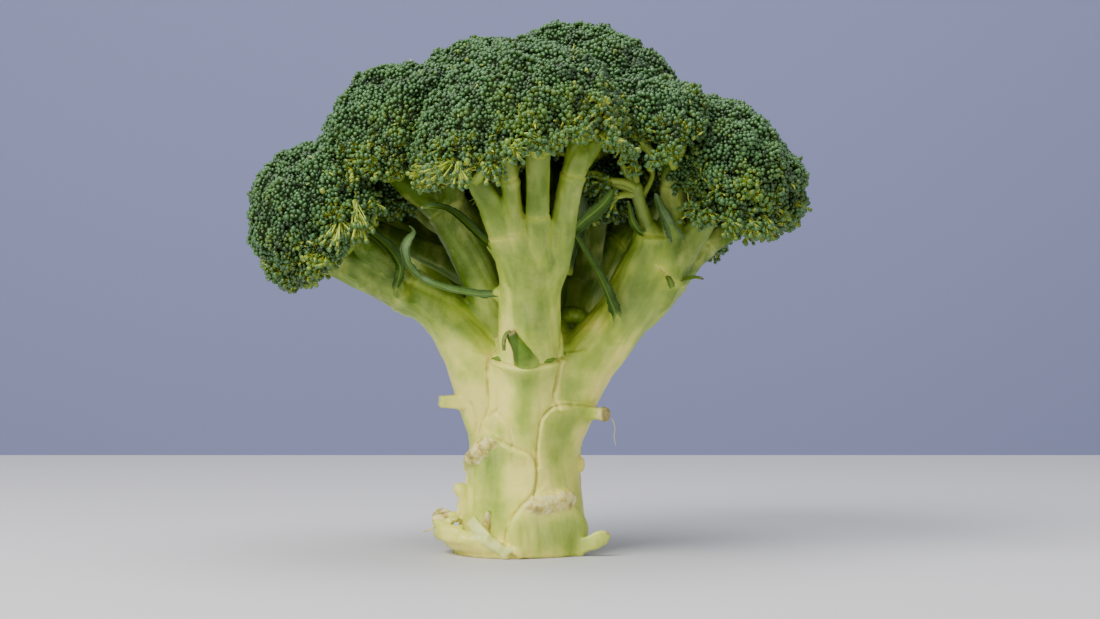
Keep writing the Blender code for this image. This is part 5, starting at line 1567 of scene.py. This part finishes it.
def build_leaf(name, mats):
    points, widths, looks, fold, finish = LEAVES[name]
    generator = np.random.default_rng(sum(map(ord, name)))
    path = catmull([(*p, w) for p, w in zip(points, widths)], 0.4)
    n = len(path)
    across = 12
    tangent = unit(np.gradient(path[:, :3], axis=0))
    looks = unit(np.array(looks, float))
    t = np.linspace(0, 1, n)
    length = np.concatenate([[0], np.cumsum(np.linalg.norm(np.diff(path[:, :3], axis=0), axis=1))])
    side = unit(np.cross(tangent, looks))
    face = unit(np.cross(side, tangent))
    turn = np.radians(20) * np.sin(t * 3.4 + generator.uniform(0, 3)) * (1 - 0.3 * t)
    side, face = side * np.cos(turn)[:, None] + face * np.sin(turn)[:, None], face * np.cos(turn)[:, None] - side * np.sin(turn)[:, None]
    s = np.linspace(-1, 1, across + 1)
    zero = np.zeros(n)
    ragged = []
    for k in (0, 1):
        slow = vnoise(np.stack([length * 0.22 + 9.0 * k, zero, zero], 1), 71 + k)
        quick = vnoise(np.stack([length * 0.85 + 9.0 * k, zero, zero], 1), 81 + k)
        teeth = np.abs(((length * 0.80 + 0.35 * slow) % 1) - 0.25)
        ragged.append(1 + 0.15 * slow + 0.12 * quick + 0.20 * (0.4 - teeth) * (0.4 if name.startswith("bract") else 1.0))
    wide = np.where(s[None] < 0, ragged[0][:, None], ragged[1][:, None]) * path[:, 3:4] / 2
    rounded = np.sqrt(np.clip(1 - ((t - 0.90) / 0.10).clip(0, 1) ** 2, 0.05, 1))[:, None]
    wide = wide * rounded
    ripple = 0.40 * vnoise(np.stack([np.repeat(length * 0.30, across + 1), np.tile(s * 1.2, n), np.zeros(n * (across + 1))], 1), 91).reshape(n, -1)
    thick_leaf = 1.6 if name == "bract_stalk" else (0.8 if name.startswith("bract") else 0.58)
    up = fold * path[:, 3:4] * np.abs(s)[None] ** 1.4 * 0.9 + ripple * np.abs(s)[None] ** 2 * np.minimum(1, path[:, 3:4] / 4)
    centre = path[:, None, :3] + side[:, None] * (s[None] * wide)[..., None] + face[:, None] * up[..., None]
    body = thick_leaf * (0.30 + 0.70 * (1 - np.abs(s)) ** 0.8)[None] + (0.45 * np.exp(-(s / 0.18) ** 2))[None] * (1 - 0.7 * t)[:, None]
    body = body * np.clip((1.02 - t) * 9, 0.25, 1)[:, None]
    top = centre + face[:, None] * (body * 0.35)[..., None]
    bottom = centre - face[:, None] * (body * 0.65)[..., None]
    m = across + 1
    co = np.concatenate([top.reshape(-1, 3), bottom.reshape(-1, 3)])
    i = np.arange(n - 1)[:, None] * m
    k = np.arange(across)[None]
    quads = np.stack([i + k, i + k + 1, i + m + k + 1, i + m + k], -1).reshape(-1, 4)
    off = n * m
    below = quads[:, ::-1] + off
    j = np.arange(n - 1) * m
    left = np.stack([j, j + m, j + m + off, j + off], -1)
    right = np.stack([j + across, j + across + off, j + m + across + off, j + m + across], -1)
    kk = np.arange(across)
    start = np.stack([kk, kk + off, kk + 1 + off, kk + 1], -1)
    last = (n - 1) * m
    end = np.stack([last + kk, last + kk + 1, last + kk + 1 + off, last + kk + off], -1)
    rim = np.tile(np.abs(s)[None], (n, 1)).reshape(-1)
    rib = np.tile(np.exp(-(s / 0.14) ** 2)[None], (n, 1)).reshape(-1)
    root = np.repeat(smoothstep(0.06 if name == "leaf_left_curled" else 0.17, 0.02, t), m)
    tips = {"bract_stalk": 0.86, "leaf_left_upper": 0.95, "leaf_twisted": 0.92, "bract_right_outer": 0.7}
    old = np.repeat(smoothstep(tips[name], 1.0, t), m) if name in tips else np.zeros(n * m)
    pile = Pile(["rim", "rib", "old", "root"])
    if name != "bract_stalk":
        pile.add(co, [quads, below, left, right, start, end], 0, rim=np.tile(rim, 2), rib=np.tile(rib, 2), old=np.tile(old, 2), root=np.tile(root, 2))
    else:
        rows = [(0.6, -19.0, 62.0, 5.6), (0.5, -21.2, 63.8, 5.4), (0.1, -23.4, 65.3, 4.7), (-0.7, -25.2, 66.8, 3.6), (-1.6, -26.4, 68.5, 2.8), (-2.6, -27.0, 70.3, 2.2), (-3.8, -26.8, 72.2, 1.9), (-4.5, -27.0, 73.8, 1.75), (-4.9, -27.1, 74.6, 1.5)]
        tube, faces, along = tube_mesh(catmull(rows, 0.4), 28)
        wob = 0.10 * vnoise(tube * 0.9, 55) + 0.05 * vnoise(tube * 2.2, 56)
        tube = tube + wob[:, None] * np.array([0.7, -0.7, 0.0])
        pile.add(tube, faces, 0, rim=0.35 + 0.5 * smoothstep(-0.5, -2.5, tube[:, 0] + 0.6), rib=0.0, old=smoothstep(0.90, 1.0, along), root=smoothstep(0.56, 0.26, along + 0.05 * vnoise(tube * 0.8, 57)))
        for rows, dry in (
            ([(-11.0, -17.0, 65.6, 0.35), (-9.8, -18.6, 65.8, 0.75), (-8.4, -20.4, 65.6, 0.80), (-7.2, -21.6, 65.2, 0.40)], 0.0),
            ([(5.6, -24.2, 64.8, 0.40), (7.0, -23.6, 65.2, 0.80), (8.6, -22.4, 65.5, 0.85), (9.9, -20.8, 66.0, 0.40)], 0.0),
            ([(-5.0, -27.4, 74.6, 0.8), (-6.3, -28.2, 73.8, 0.7), (-7.0, -28.2, 71.6, 0.75), (-7.0, -27.6, 68.6, 0.55)], 0.5),
        ):
            tube, faces, along = tube_mesh(catmull(rows, 0.4), 9)
            pile.add(tube, faces, 0, rim=0.2, rib=0.0, old=dry, root=0.0)
    obj = pile.object(name + "_blade", [mats["bract" if name.startswith("bract") else finish]])
    import bmesh
    bm = bmesh.new()
    bm.from_mesh(obj.data)
    bmesh.ops.recalc_face_normals(bm, faces=bm.faces)
    bm.to_mesh(obj.data)
    bm.free()
    return obj


# =====================================================================
# Put it together
# =====================================================================
def main():
    stem = stem_material()
    mats = [bud_material(), twig_material(), shade_sheet_material()]
    leaf_mats = {
        "green": leaf_material("leaf_dark", (0.030, 0.082, 0.004), (0.062, 0.145, 0.008), (0.100, 0.190, 0.018), (0.260, 0.370, 0.040)),
        "bract": leaf_material("leaf_bract", (0.080, 0.165, 0.010), (0.150, 0.265, 0.022), (0.210, 0.330, 0.045), (0.340, 0.450, 0.060)),
        "grey": leaf_material("leaf_bloom", (0.060, 0.135, 0.024), (0.120, 0.215, 0.055), (0.270, 0.370, 0.200), (0.270, 0.370, 0.110)),
    }
    trunk = build_stem(stem)
    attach(trunk, "root")
    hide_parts("stalk", *BRANCHES, *[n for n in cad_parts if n.startswith("stub_")])
    for name in LOBES:
        piece = build_floret(name, mats)
        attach(piece, "root")
        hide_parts(name)
    for name in LEAVES:
        piece = build_leaf(name, leaf_mats)
        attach(piece, "root")
        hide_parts(name)


def stage():
    scene = bpy.context.scene

    def slab(name, place, size, material):
        bpy.ops.mesh.primitive_cube_add(size=1.0, location=place)
        obj = bpy.context.object
        obj.name = name
        obj.scale = size
        bpy.ops.object.transform_apply(location=False, rotation=False, scale=True)
        obj.data.materials.append(material)

    slab("floor", (0.0, -0.20, -0.0101), (2.6, 1.40, 0.02), floor_material())
    slab("wall", (0.0, 1.30, 0.30), (5.0, 0.02, 2.4), wall_material())
    world = bpy.data.worlds.new("studio")
    scene.world = world
    world.use_nodes = True
    back = world.node_tree.nodes["Background"]
    back.inputs["Color"].default_value = (0.400, 0.400, 0.405, 1.0)
    back.inputs["Strength"].default_value = 0.62

    def area(name, place, target, size, power, colour):
        light = bpy.data.lights.new(name, "AREA")
        light.shape = "RECTANGLE"
        light.size, light.size_y = size
        light.energy = power
        light.color = colour
        obj = bpy.data.objects.new(name, light)
        scene.collection.objects.link(obj)
        obj.location = place
        obj.rotation_euler = (Vector(target) - Vector(place)).to_track_quat("-Z", "Y").to_euler()

    area("key", (-0.72, -0.66, 1.00), (0, 0, 0.09), (0.75, 0.75), 28.0, (1.0, 0.985, 0.94))
    area("top", (0.10, 0.10, 1.25), (0, 0, 0.10), (1.1, 1.1), 14.0, (0.97, 0.985, 1.0))
    area("fill", (0.95, -0.65, 0.45), (0, 0, 0.09), (0.8, 0.8), 3.4, (0.90, 0.94, 1.0))
    area("low", (-0.30, -1.05, 0.22), (0, 0, 0.08), (1.0, 0.4), 1.2, (1.0, 0.99, 0.96))

    camera = bpy.data.cameras.new("camera")
    camera.sensor_width = 36.0
    camera.lens = 36.0 * 2370.0 / 1100.0
    camera.shift_y = (300.0 - 309.5) / 1100.0
    camera.clip_start = 0.05
    obj = bpy.data.objects.new("camera", camera)
    scene.collection.objects.link(obj)
    obj.location = (0.008, -0.80, 0.085)
    obj.rotation_euler = (math.radians(90), 0.0, 0.0)
    scene.camera = obj


stage()
main()
